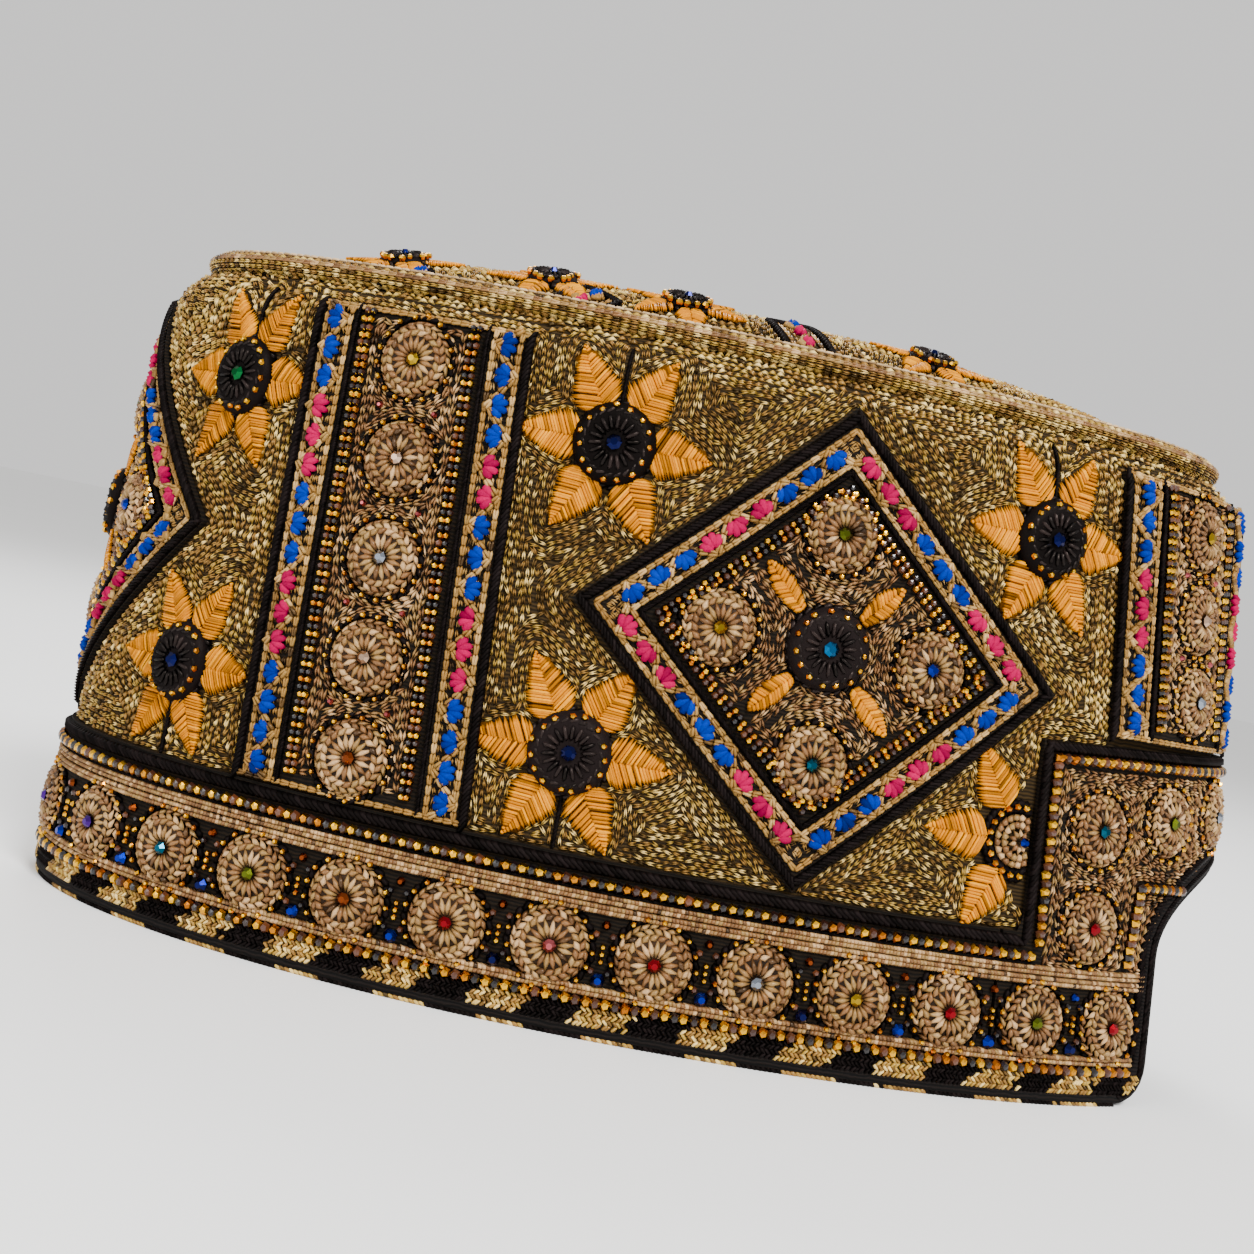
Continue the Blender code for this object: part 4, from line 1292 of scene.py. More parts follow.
def rosette(piles, s, h, tint, mirror=True, wide=1.0):
    """A buttonhole wheel of tan thread with a black ring, seed beads and a stone in the middle."""
    d = ON_PLATE
    rise = 0.0020
    # The cushion under the wheel is near-black tan: painted shade between the spokes
    piles["dome"].add(Wall, [s], h, 1.0, 0.0, (0.62 * PITCH * wide, 0.62 * PITCH, rise * 0.75), d,
                      mirror=mirror)
    for radius, count, length, width, lean, lift in (
            (0.160, 18, 0.23, 0.060, None, 0.66), (0.258, 20, 0.165, 0.066, 0.55, 0.58),
            (0.304, 22, 0.165, 0.066, -0.55, 0.40), (0.350, 24, 0.165, 0.060, 0.40, 0.0)):
        ring(piles["wheel"], Wall, s, h, radius, count, (length, width, 0.0010), d + rise * lift, lean,
             wide, mirror)
    ring(piles["cord"], Wall, s, h, 0.412, 26, (0.13, 0.085, 0.0008), d, 0.4, wide, mirror)
    beads = 17
    x, y, tx, ty, _ = circle(s, h, 0.408, beads, wide)
    jitter = RNG.normal(0, 0.006, beads)
    piles["gold"].add(Wall, x + jitter, y + jitter, tx, ty, (0.00115, 0.00105, 0.0009), d + 0.0005,
                      tint=gold_tints(beads), mirror=mirror)
    piles["stone"].add(Wall, [s], h, 1.0, 0.3, (0.0024, 0.0024, 0.0012), d + rise * 0.72,
                       tint=STONES[tint], mirror=mirror)


def gold_tints(count):
    """Tints of gold beads, from bright gold to amber."""
    share = RNG.uniform(0, 1, (count, 1)) ** 2.2
    return GOLD * (1 - share) + GOLD_RED * share


def boss(piles, s, h, d, wide, tint, surface=Wall, scale=1.0, mirror=True):
    """The dark middle of a flower: a black buttonhole wheel, a ring of beads and a stone."""
    rise = 0.0032 * scale
    piles["black_dome"].add(surface, [s], h, 1.0, 0.0,
                            (0.84 * PITCH * scale * wide, 0.84 * PITCH * scale, rise * 0.9), d,
                            mirror=mirror)
    for radius, count, length, width, height, lean, lift in (
            (0.20, 18, 0.19, 0.075, 0.0012, None, 0.76), (0.315, 22, 0.13, 0.08, 0.0013, 0.4, 0.60),
            (0.415, 24, 0.13, 0.08, 0.0012, 0.4, 0.0)):
        ring(piles["black_wheel"], surface, s, h, radius * scale, count,
             (length * scale, width * scale, height), d + rise * lift, lean, wide, mirror)
    beads = 15
    x, y, tx, ty, _ = circle(s, h, 0.355 * scale, beads, wide)
    ragged = RNG.normal(0, 0.012, (2, beads))
    piles["gold"].add(surface, x + ragged[0], y + ragged[1], tx, ty, (0.0014, 0.0012, 0.0011),
                      d + rise * 0.62, tint=gold_tints(beads) * 0.8, mirror=mirror)
    piles["stone"].add(surface, [s], h, 1.0, 0.3, (0.0028 * scale, 0.0028 * scale, 0.0012),
                       d + rise * 0.82, tint=STONES[tint], mirror=mirror)


def straight(a, b):
    """Two ends of a line as arrays, with its length, its direction and the direction to its left."""
    a, b = np.array(a), np.array(b)
    length = np.linalg.norm(b - a)
    way = (b - a) / length
    return a, b, length, way, np.array([-way[1], way[0]])


def satin_petal(piles, start, end, width, d, count, rise, surface=Wall, mirror=True, clip=None,
                leaf=False):
    """One petal of slanting satin threads on both sides of its vein, in pitches."""
    start, end, length, axis, side = straight(start, end)
    t = (np.arange(count) + 0.5) / count
    w = petal_width(t) / PETAL_WIDTH * width
    if leaf:
        w = width * np.sin(math.pi * (0.12 + 0.86 * t)) ** 0.7
    lean = 0.50
    if clip is None:
        heart = (start + end) / 2
        # The padding under the threads is dark orange: painted shade between them
        piles["petal_pad"].add(surface, [heart[0]], heart[1], axis[0], axis[1],
                               (length * 0.90 * PITCH, width * 1.2 * PITCH, rise * 0.6), d, mirror=mirror)
    for way in (1, -1):
        run = np.stack([lean * w, w * way], 1)
        reach = np.linalg.norm(run, axis=1)
        middle = start + np.outer(t * length - lean * w * 0.15, axis) + np.outer(w * 0.43 * way, side)
        middle = middle + np.outer(RNG.normal(0, 0.008, count), axis)
        u, v = middle[:, 0], middle[:, 1]
        du = axis[0] * lean + side[0] * way
        dv = axis[1] * lean + side[1] * way
        keep = np.ones(len(u), bool) if clip is None else u > clip
        if not keep.any():
            continue
        ragged = RNG.uniform(1.12, 1.34, count)
        size = (np.maximum(reach * ragged, 0.03)[keep] * PITCH, length / count * 1.9 * PITCH, 0.0008)
        piles["satin"].add(surface, u[keep], v[keep], du, dv, size, d + rise * 0.36, mirror=mirror)


def flower(piles, s, h, surface=Wall, scale=1.0, wide=1.0, turn=0.0, clip=None, tint="navy"):
    """A satin flower with its dark middle. A flower cut off by a border keeps three petals."""
    for k in (range(6) if clip is None else (0, 1, 5)):
        a = math.radians(60 * k) + turn
        ends = []
        for r in (PETAL_START * scale, PETAL_END * scale):
            r = r if clip is None else r * 1.05
            ends.append((s + r * math.cos(a) * wide, h + r * math.sin(a)))
        squeeze = math.hypot(math.sin(a) * wide, math.cos(a))
        satin_petal(piles, ends[0], ends[1], PETAL_WIDTH * scale * squeeze, 0.0, 22,
                    0.0013 * (0.6 + 0.4 * scale), surface, clip=clip)
    if clip is None:
        boss(piles, s, h, 0.0, wide, tint, surface, scale)


def triangles(piles, a, b, tall, chart, surface=Wall, d=ON_PLATE, mirror=True, over=0.0):
    """Lobed satin triangles in a strip beside the line from a to b, with their tan zigzag."""
    a, b, length, way, side = straight(a, b)
    side = side * (1 if tall > 0 else -1)
    tall = abs(tall)
    count = len(chart)
    step = length / count
    for share in (0.1, 0.37, 0.63, 0.9):
        off = side * (tall * share)
        row = [tuple(a + off - way * over), tuple(b + off + way * over)]
        scatter(piles["strip"], surface, row, CHAIN_LENGTH, 0.0012, mirror, d - 0.0002)
    size = min(tall / TRIANGLE_TALL, step / TRIANGLE_STEP) * 0.96
    for i, letter in enumerate(chart):
        pile = piles["blue"] if letter == "B" else piles["pink"]
        n = side * (1 if i % 2 else -1)
        centre = a + way * step * (i + 0.5) + side * (tall / 2) - n * 0.02 * size
        for degrees, reach in LOBES:
            turn = math.radians(degrees)
            lobe_way = -n * math.cos(turn) + way * math.sin(turn)
            spot = centre + (n * 0.115 + lobe_way * (reach / 2 + 0.01)) * size
            pile.add(surface, spot[0], spot[1], lobe_way[0], lobe_way[1],
                     (reach * size * PITCH, 0.098 * size * PITCH, 0.0017), d + 0.0001, mirror=mirror)
    zigzag = []
    for i in range(-1, count + 1):
        along = min(max(i + 0.5, 0.0), float(count))
        zigzag.append(tuple(a + way * step * along + side * (tall if i % 2 else 0.0)))
    chain(piles["zigzag"], zigzag, CHAIN_LENGTH, 0.085, d, surface, mirror=mirror, height=0.0014)


def ladder(piles, path, mirror=True, pairs=True, step=0.15):
    """Gold seed beads in pairs, with dark beads between, along a path."""
    d = ON_PLATE
    u, v, du, dv, step = walk(path, step)
    for off in ((-0.034, 0.034) if pairs else (0.0,)):
        jitter = RNG.normal(0, 0.005, len(u))
        size = 0.0015 if pairs else 0.0022
        piles["gold"].add(Wall, u - dv * off + jitter, v + du * off, du, dv,
                          (size, size, size * 0.75), d, tint=gold_tints(len(u)), mirror=mirror)
        piles["dark_bead"].add(Wall, u - dv * off + du * step / 2, v + du * off + dv * step / 2, du, dv,
                               (size * 0.9, size, size * 0.8), d, tint=dark_tints(len(u)), mirror=mirror)


def dark_tints(count):
    """Tints of black and brown glass beads."""
    share = RNG.uniform(0, 1, (count, 1)) ** 3
    return GLASS_BLACK * (1 - share) + GLASS_BROWN * share


def lay_rim(piles):
    """Braids, bead rows and rosettes of the rim band."""
    d = ON_PLATE
    for start, h, width in RIM_PLAITS:
        plait(piles["wheel"], [(start, h), (HALF_ROUND, h)], width, d)
    for start, h, step in RIM_BEADS:
        ladder(piles, [(start, h), (HALF_ROUND, h)], pairs=False, step=step)
    for start, h, width, height in RIM_CORDS:
        rope(piles["cord"], [(start, h), (HALF_ROUND, h)], width, d, height=height)
    places = rim_places()
    for s, stone in zip(places, RIM_STONES):
        rosette(piles, s, RIM_ROSETTE, stone)
    mids = [(a + b) / 2 for a, b in zip(places, places[1:])] + [HALF_ROUND]
    for k, m in enumerate(mids):
        both = m < HALF_ROUND
        for h, width, height, stone in ((0.565, 0.0026, 0.0015, "blue" if k % 3 else "navy"),
                                        (1.085, 0.0017, 0.0012, "blue" if k == 0 else "amber")):
            piles["stone"].add(Wall, [m], h, 1.0, 0.2, (width, width, height), d, tint=STONES[stone],
                               mirror=both)
        for h in (0.74, 0.81, 0.88):
            piles["gold"].add(Wall, [m], h, 1.0, 0.0, (0.0012, 0.0012, 0.0010), d, tint=gold_tints(1),
                              mirror=both)
        for x, h in ((-0.08, 0.99), (0.08, 0.99), (-0.08, 0.64), (0.08, 0.64)):
            piles["dark_bead"].add(Wall, [m + x], h, 1.0, 0.0, (0.0013, 0.0013, 0.0010), d,
                                   tint=dark_tints(1), mirror=both)


def lay_panel(piles):
    """Stepped border, rosettes and notch edging of the arched panel."""
    d = ON_PLATE
    rope(piles["cord"], [(PANEL_HALF - 0.04, BAND_TOP - 0.085)] + step_path(0.06)[1:], 0.14, d)
    beads = step_path(0.17)
    ladder(piles, [(beads[0][0], 1.52)] + beads[1:], pairs=False, step=0.17)
    rope(piles["cord"], [p for p in notch_edge(0.20) if p[1] > 0.33], 0.12, d)
    ladder(piles, [(2.62, 1.40), (2.50, 2.27), (1.78, 2.27)], pairs=False)
    for (s, h), stone in zip(panel_rosettes(), PANEL_STONES):
        rosette(piles, s, h, stone, mirror=s > 0)
    for row in trim_fill():
        if len(row) > 8:
            scatter(piles["fill"], Wall, row, CHAIN_LENGTH, 0.0016, d=d)


def lay_bands(piles):
    """The upright bands."""
    d = ON_PLATE
    for row in BANDS:
        outer = row["half"] - 0.005
        for way in (1, -1):
            rope(piles["cord"], band_line(row, way * outer, row["foot"] - 0.04), 0.12, d)
            rope(piles["cord"], band_line(row, way * BAND_CORD), 0.06, d, height=0.0010)
            for off in (outer - BAND_EDGE_CHAIN, BAND_CHAIN):
                chain(piles["braid"], band_line(row, way * off), CHAIN_LENGTH, CHAIN_WIDTH, d)
            ladder(piles, band_line(row, way * BAND_BEADS, row["foot"] + 0.06, STRIP_TOP - 0.05))
            chart = row["outer"] if way > 0 else row["inner"]
            foot, top = band_line(row, way * BAND_TRIANGLES)
            triangles(piles, top, foot, way * (outer - BAND_EDGE_CHAIN - BAND_TRIANGLES), chart)
        heights = band_heights(row)
        for h, stone in zip(heights, BAND_STONES[-row["count"]:]):
            rosette(piles, band_centre(row, h), h, stone)
        for h in (heights[:-1] + heights[1:]) / 2:
            for x in (-0.30, 0.30):
                piles["stone"].add(Wall, [band_centre(row, h) + x], h, 1.0, 0.0,
                                   (0.0013, 0.0013, 0.0010), d, tint=STONES["rose"])
        chain(piles["braid"], [band_line(row, -outer, row["foot"])[0], band_line(row, outer)[0]],
              CHAIN_LENGTH, CHAIN_WIDTH, d)
        h = STRIP_TOP - 0.02
        left = band_centre(row, h) - outer
        chain(piles["braid"], [(left, h), (left + 2 * outer, h)], CHAIN_LENGTH, 0.08, d)


def lay_diamonds(piles):
    """The diamonds with their triangles, bead ladders, rosettes and leaves."""
    d = ON_PLATE
    for row in DIAMONDS:
        if row["s"] < 0:
            continue
        both = row["s"] < HALF_ROUND
        squeeze = row["half"] / DIAMONDS[0]["half"]
        for inset, width in DIAMOND_CORDS:
            rope(piles["cord"], diamond_corners(row, inset), width, d, closed=True, mirror=both)
        for inset in DIAMOND_CHAINS:
            chain(piles["braid"], diamond_corners(row, inset), CHAIN_LENGTH, CHAIN_WIDTH, d, closed=True,
                  mirror=both)
        corners = diamond_corners(row, DIAMOND_BEADS)
        for a, b in zip(corners, corners[1:] + corners[:1]):
            ladder(piles, [a, b], mirror=both)
        top, rear, bottom, front = diamond_corners(row, DIAMOND_TRIANGLES)
        for a, b, key in ((top, rear, "upper_back"), (top, front, "upper_front"),
                          (front, bottom, "lower_front"), (rear, bottom, "lower_back")):
            a, b, _, way, side = straight(a, b)
            inward = 1 if np.dot(np.array([row["s"], FIELD_MIDDLE]) - a, side) > 0 else -1
            triangles(piles, a + way * DIAMOND_CORNER, b - way * DIAMOND_CORNER, inward * DIAMOND_STRIP,
                      DIAMOND_CHART[key], mirror=both, over=0.15)
        for (a, b), stone in zip(ROSETTE_WAYS, DIAMOND_STONES):
            rosette(piles, row["s"] + a * ROSETTE_OUT * squeeze, FIELD_MIDDLE + b * ROSETTE_OUT, stone,
                    both, squeeze)
        for start, end in diamond_leaves(row):
            satin_petal(piles, start, end, 0.125, d, 15, 0.0012, mirror=both, leaf=True)
        boss(piles, row["s"], FIELD_MIDDLE, d, squeeze, "sky", mirror=both)


def lay_crown(piles):
    """Strips and flowers on the crown."""
    for strip in CROWN_STRIPS:
        sides = [crown_strip_line(strip, off) for off in (-CROWN_CORD, CROWN_CORD)]
        for side in sides + [[sides[0][1], sides[1][1]]]:
            rope(piles["cord"], side, 0.11, 0.0, Crown)
        for off in (-CROWN_CHAIN, CROWN_CHAIN):
            chain(piles["braid"], crown_strip_line(strip, off), CHAIN_LENGTH, CHAIN_WIDTH, 0.0, Crown)
        a, b = crown_strip_line(strip, -CROWN_TRIANGLES)
        triangles(piles, a, b, 2 * CROWN_TRIANGLES, strip["chart"], Crown, 0.0)
    for row in CROWN_FLOWERS:
        x, y = Crown.place(row["s"], row["r"])
        flower(piles, x, y, Crown, CROWN_SCALE, turn=crown_turn(row))
    edge = [(x * 0.975, y * 0.975) for x, y in zip(EDGE_X[::8], EDGE_Y[::8])]
    chain(piles["braid"], edge, 0.11, 0.09, 0.0, Crown, closed=True, mirror=False)


def lay_flowers(piles):
    """The flowers in the wall's fields, and their stems."""
    for row in FLOWERS:
        tint = "green" if row["s"] > 13.25 else "navy"
        flower(piles, row["s"], row["h"], wide=row["wide"], tint=tint)
        if row["stem"]:
            start = row["h"] + 0.40 * row["stem"]
            end = 6.55 if row["stem"] > 0 else BAND_TOP
            rope(piles["cord"], [(row["s"], start), (row["s"], end)], 0.05, 0.0, height=0.0008)
    s, h = CUT_FLOWER["s"], CUT_FLOWER["h"]
    clip = PANEL_HALF + 0.02
    flower(piles, s, h, clip=clip)
    for radius, count, key, size, d in (
            (0.375, 34, "cord", (0.14, 0.11, 0.0009), 0.0002),
            (0.315, 28, "cord", (0.14, 0.11, 0.0009), 0.0003),
            (0.235, 20, "wheel", (0.13, 0.085, 0.0011), 0.0004),
            (0.165, 16, "wheel", (0.12, 0.085, 0.0011), 0.0008)):
        ring(piles[key], Wall, s, h, radius, count, size, d, 0.4, clip=clip + 0.03)
    ring(piles["wheel"], Wall, s, h, 0.08, 10, (0.11, 0.06, 0.0010), 0.0013)
    x, y, tx, ty, _ = circle(s, h, 0.345, 20)
    keep = x > clip + 0.04
    piles["gold"].add(Wall, x[keep], y[keep], tx[keep], ty[keep], (0.0014, 0.0013, 0.0010), 0.0008,
                      tint=gold_tints(int(keep.sum())))
    piles["stone"].add(Wall, [s - 0.04], h, 1.0, 0.2, (0.0019, 0.0019, 0.0011), 0.0018,
                       tint=STONES["blue"])


def binding(mats):
    """The bound edge along the rim and round the notch."""
    path = []
    rim = (BINDING_SKIN + GAP) / PITCH
    edge = notch_edge()
    start = edge[0][0] + 0.1
    for s in np.linspace(start, 2 * HALF_ROUND - start, 200):
        path.append(((s, rim), (0.0, 1.0), BINDING_LEG))
    loop = [(-s, h) for s, h in edge] + [(s, h) for s, h in reversed(edge[:-1])]
    for i, (s, h) in enumerate(loop):
        before = loop[max(i - 1, 0)]
        after = loop[min(i + 1, len(loop) - 1)]
        t = np.array([after[0] - before[0], after[1] - before[1]])
        t = t / np.linalg.norm(t)
        if i in (0, len(loop) - 1):
            t = np.array([1.0, 0.0])
        share = min(max((h - rim) / NOTCH_CORNER, 0.0), 1.0)
        leg = BINDING_LEG + (NOTCH_LEG - BINDING_LEG) * share
        path.append(((s + 2 * HALF_ROUND, h), (-t[1], t[0]), leg))
    proud = BINDING_PROUD + GAP
    behind = -CLOTH - GAP - BINDING_SKIN
    low = -(GAP + BINDING_SKIN)
    verts = []
    for (s, h), (ns, nh), leg in path:
        profile = ((low, behind + 0.0006), (low + 0.0005, behind), (leg, behind), (leg, -CLOTH - GAP),
                   (-GAP, -CLOTH - GAP), (-GAP, GAP), (leg, GAP), (leg + 0.0001, proud - 0.0004),
                   (leg - 0.0005, proud), (low + 0.0006, proud), (low, proud - 0.0007))
        t = np.array([p[0] for p in profile]) / PITCH
        d = np.array([p[1] for p in profile])
        u = s + ns * t
        v = h + nh * t
        verts.append(Wall.point(u, v) + Wall.normal(u, v) * d[:, None])
    mesh_object("rim_binding_tape", np.concatenate(verts), grid_faces(len(path), len(verts[0]), loop=True),
                mats, ("rim_binding",))


def binding_threads(dark_mat, tan_mat):
    """Slanting stitches over the bound edge, in ragged blocks of black and tan."""
    dark = Pile()
    tan = Pile()
    d = BINDING_PROUD + GAP - 0.0002
    tiers, low, top = 6, 0.02, 0.30
    for tier in range(tiers):
        h = low + (top - low) * (tier + 0.5) / tiers
        way = 1 if tier % 2 else -1
        s = np.arange(NOTCH_HALF + 0.02, HALF_ROUND, 0.048) + 0.01 * tier
        s = s + RNG.normal(0, 0.008, len(s))
        s = s[h > np.array([wall_low(a) for a in s]) + 0.02]
        chevron = 0.16 * abs(tier - 2.5) / 2.5
        phase = (s + chevron + RNG.normal(0, 0.03, len(s))) % 1.0
        is_tan = phase < TAN_BLOCK
        lean = np.full(len(s), 1.1 * way)
        size = (0.10 * PITCH, 0.058 * PITCH, 0.0009)
        for pile, mask in ((tan, is_tan), (dark, ~is_tan)):
            pile.add(Wall, s[mask], h, lean[mask], 1.0, size, d)
    s = np.arange(NOTCH_HALF + 0.42, HALF_ROUND, 0.05)
    is_tan = (s + 0.16 + RNG.normal(0, 0.03, len(s))) % 1.0 < TAN_BLOCK
    for pile, mask in ((tan, is_tan), (dark, ~is_tan)):
        pile.add(Wall, s[mask], 0.0, 1.0, 0.6, (0.10 * PITCH, 0.08 * PITCH, 0.0009), d - 0.0006)
    rope(dark, notch_edge(0.045), 0.10, d, height=0.0008)
    rope(dark, notch_edge(-0.02), 0.09, d - 0.0005, height=0.0008)
    lay_pile("binding_dark_stitches", dark, "strand", dark_mat)
    lay_pile("binding_tan_stitches", tan, "strand", tan_mat)


def piping(base_mat, thread_mat, ground_mat, light_mat):
    """The seam cord: a core with rows of chain stitch over it and a fine bright line."""
    s = np.linspace(0, 2 * HALF_ROUND, 261)[:-1]
    a = np.linspace(0, 2 * math.pi, 13)[:-1]
    u, v = np.meshgrid(s, a, indexing="ij")
    points = Piping.point(u, v).reshape(-1, 3)
    faces = [(a, d, c, b) for a, b, c, d in grid_faces(*u.shape, loop=True)]
    mesh_object("seam_cord_core", points, faces, [base_mat], ("crown_seam_piping",))
    kinds = {"chain": (1.35, 0.0012, 0.0007, 0.0), "ground": (1.35, 0.0011, 0.0006, 0.0),
             "line": (1.2, 0.0006, 0.0006, 0.0002)}
    piles = {kind: Pile() for kind in kinds}
    for angle, kind in CORD_ROWS:
        path = [(x, angle) for x in np.linspace(-HALF_ROUND, HALF_ROUND, 200)]
        u, v, du, dv, step = walk(path, 0.105)
        lean = RNG.normal(0, 0.25, len(u)) / math.pi
        wide = RNG.uniform(0.85, 1.15, len(u))
        if kind == "line":
            lean, wide = 0.0, 1.0
        length, width, height, d = kinds[kind]
        piles[kind].add(Piping, u, v, du, dv + lean, (step * PITCH * length, width * wide, height), d,
                        mirror=False)
    lay_pile("seam_cord_chain", piles["chain"], "fat_link", thread_mat)
    lay_pile("seam_cord_ground", piles["ground"], "link", ground_mat)
    lay_pile("seam_cord_line", piles["line"], "strand", light_mat)


# Stage

def studio(colours):
    """Floor, lights and world."""
    mat, tree, shader = principled("pale_paper")
    cloud = noise(tree, 3.0)
    tone = ramp(tree, ((0.0, tuple(colours.floor)), (1.0, tuple(c * 0.97 for c in colours.floor))))
    tree.links.new(cloud.outputs["Fac"], tone.inputs["Fac"])
    tree.links.new(tone.outputs["Color"], shader.inputs["Base Color"])
    finish(shader, Roughness=0.9)
    mesh = bpy.data.meshes.new("floor")
    bm = bmesh.new()
    bmesh.ops.create_grid(bm, x_segments=8, y_segments=8, size=FLOOR_REACH)
    for v in bm.verts:
        v.co.z = -FLOOR_DROP
    bm.to_mesh(mesh)
    bm.free()
    mesh.materials.append(mat)
    in_scene("floor", mesh)
    world = bpy.data.worlds.new("studio")
    world.use_nodes = True
    background = world.node_tree.nodes["Background"]
    background.inputs["Color"].default_value = (1.0, 0.99, 0.98, 1.0)
    background.inputs["Strength"].default_value = 0.95
    bpy.context.scene.world = world
    for name, place, width, power in LAMPS:
        light = bpy.data.lights.new(name, "AREA")
        light.size = width
        light.energy = power
        lamp = in_scene(name, light)
        lamp.location = place
        aim = Vector(LAMP_AIM) - Vector(place)
        lamp.rotation_euler = aim.to_track_quat("-Z", "Y").to_euler()


def camera_from_photo():
    """The camera at the photograph's viewing angle."""
    yaw = math.radians(CAMERA_YAW)
    tilt = math.radians(CAMERA_PITCH)
    aside = math.radians(CAMERA_ASIDE)
    roll = math.radians(CAMERA_ROLL)
    place = Vector((-math.cos(yaw) * CAMERA_DISTANCE * PITCH,
                    math.sin(yaw) * CAMERA_DISTANCE * PITCH + BOX_CENTRE_SHIFT, CAMERA_HEIGHT * PITCH))
    ahead = Vector((math.cos(yaw) * math.cos(tilt), -math.sin(yaw) * math.cos(tilt), -math.sin(tilt)))
    right = ahead.cross(Vector((0, 0, 1))).normalized()
    up = right.cross(ahead)
    ahead, right = (ahead * math.cos(aside) - right * math.sin(aside),
                    right * math.cos(aside) + ahead * math.sin(aside))
    image_right = right * math.cos(roll) + up * math.sin(roll)
    image_up = up * math.cos(roll) - right * math.sin(roll)
    data = bpy.data.cameras.new("camera")
    data.lens = CAMERA_LENS
    data.sensor_width = 36.0
    data.clip_start = 0.01
    camera = in_scene("camera", data)
    camera.matrix_world = Matrix((
        (image_right.x, image_up.x, -ahead.x, place.x),
        (image_right.y, image_up.y, -ahead.y, place.y),
        (image_right.z, image_up.z, -ahead.z, place.z),
        (0, 0, 0, 1)))
    bpy.context.scene.camera = camera


# Settings that a user would change

class CapSizes(bpy.types.PropertyGroup):
    """Sizes of the stitches."""
    stitch_length: bpy.props.FloatProperty(
        name="Stitch length", description="Length of one chain stitch of the ground", default=0.0016,
        min=0.0008, max=0.004, precision=4, unit="LENGTH")
    stitch_width: bpy.props.FloatProperty(
        name="Stitch width", description="Width of one chain stitch of the ground", default=0.00095,
        min=0.0004, max=0.003, precision=5, unit="LENGTH")
    bead_scale: bpy.props.FloatProperty(
        name="Bead size", description="Size of the beads and stones, as a share of the measured one",
        default=1.0, min=0.5, max=1.5, subtype="FACTOR")


class CapColours(bpy.types.PropertyGroup):
    """Colours of the threads and the floor."""
    khaki: bpy.props.FloatVectorProperty(
        name="Ground", description="Middle tone of the ground thread", subtype="COLOR", size=3,
        default=(0.34, 0.17, 0.038), min=0.0, max=1.0)
    tan: bpy.props.FloatVectorProperty(
        name="Braid", description="Middle tone of the braid thread", subtype="COLOR", size=3,
        default=(0.25, 0.115, 0.042), min=0.0, max=1.0)
    orange: bpy.props.FloatVectorProperty(
        name="Satin", description="Middle tone of the petals", subtype="COLOR", size=3,
        default=(0.72, 0.245, 0.0), min=0.0, max=1.0)
    blue: bpy.props.FloatVectorProperty(
        name="Blue", description="Blue triangles", subtype="COLOR", size=3,
        default=(0.0, 0.018, 0.25), min=0.0, max=1.0)
    pink: bpy.props.FloatVectorProperty(
        name="Pink", description="Pink triangles", subtype="COLOR", size=3,
        default=(0.38, 0.0, 0.06), min=0.0, max=1.0)
    floor: bpy.props.FloatVectorProperty(
        name="Floor", description="Colour of the floor", subtype="COLOR", size=3,
        default=(0.93, 0.93, 0.92), min=0.0, max=1.0)


def scaled(colour, k):
    """A colour made darker or lighter."""
    return tuple(min(1.0, c * k) for c in colour)


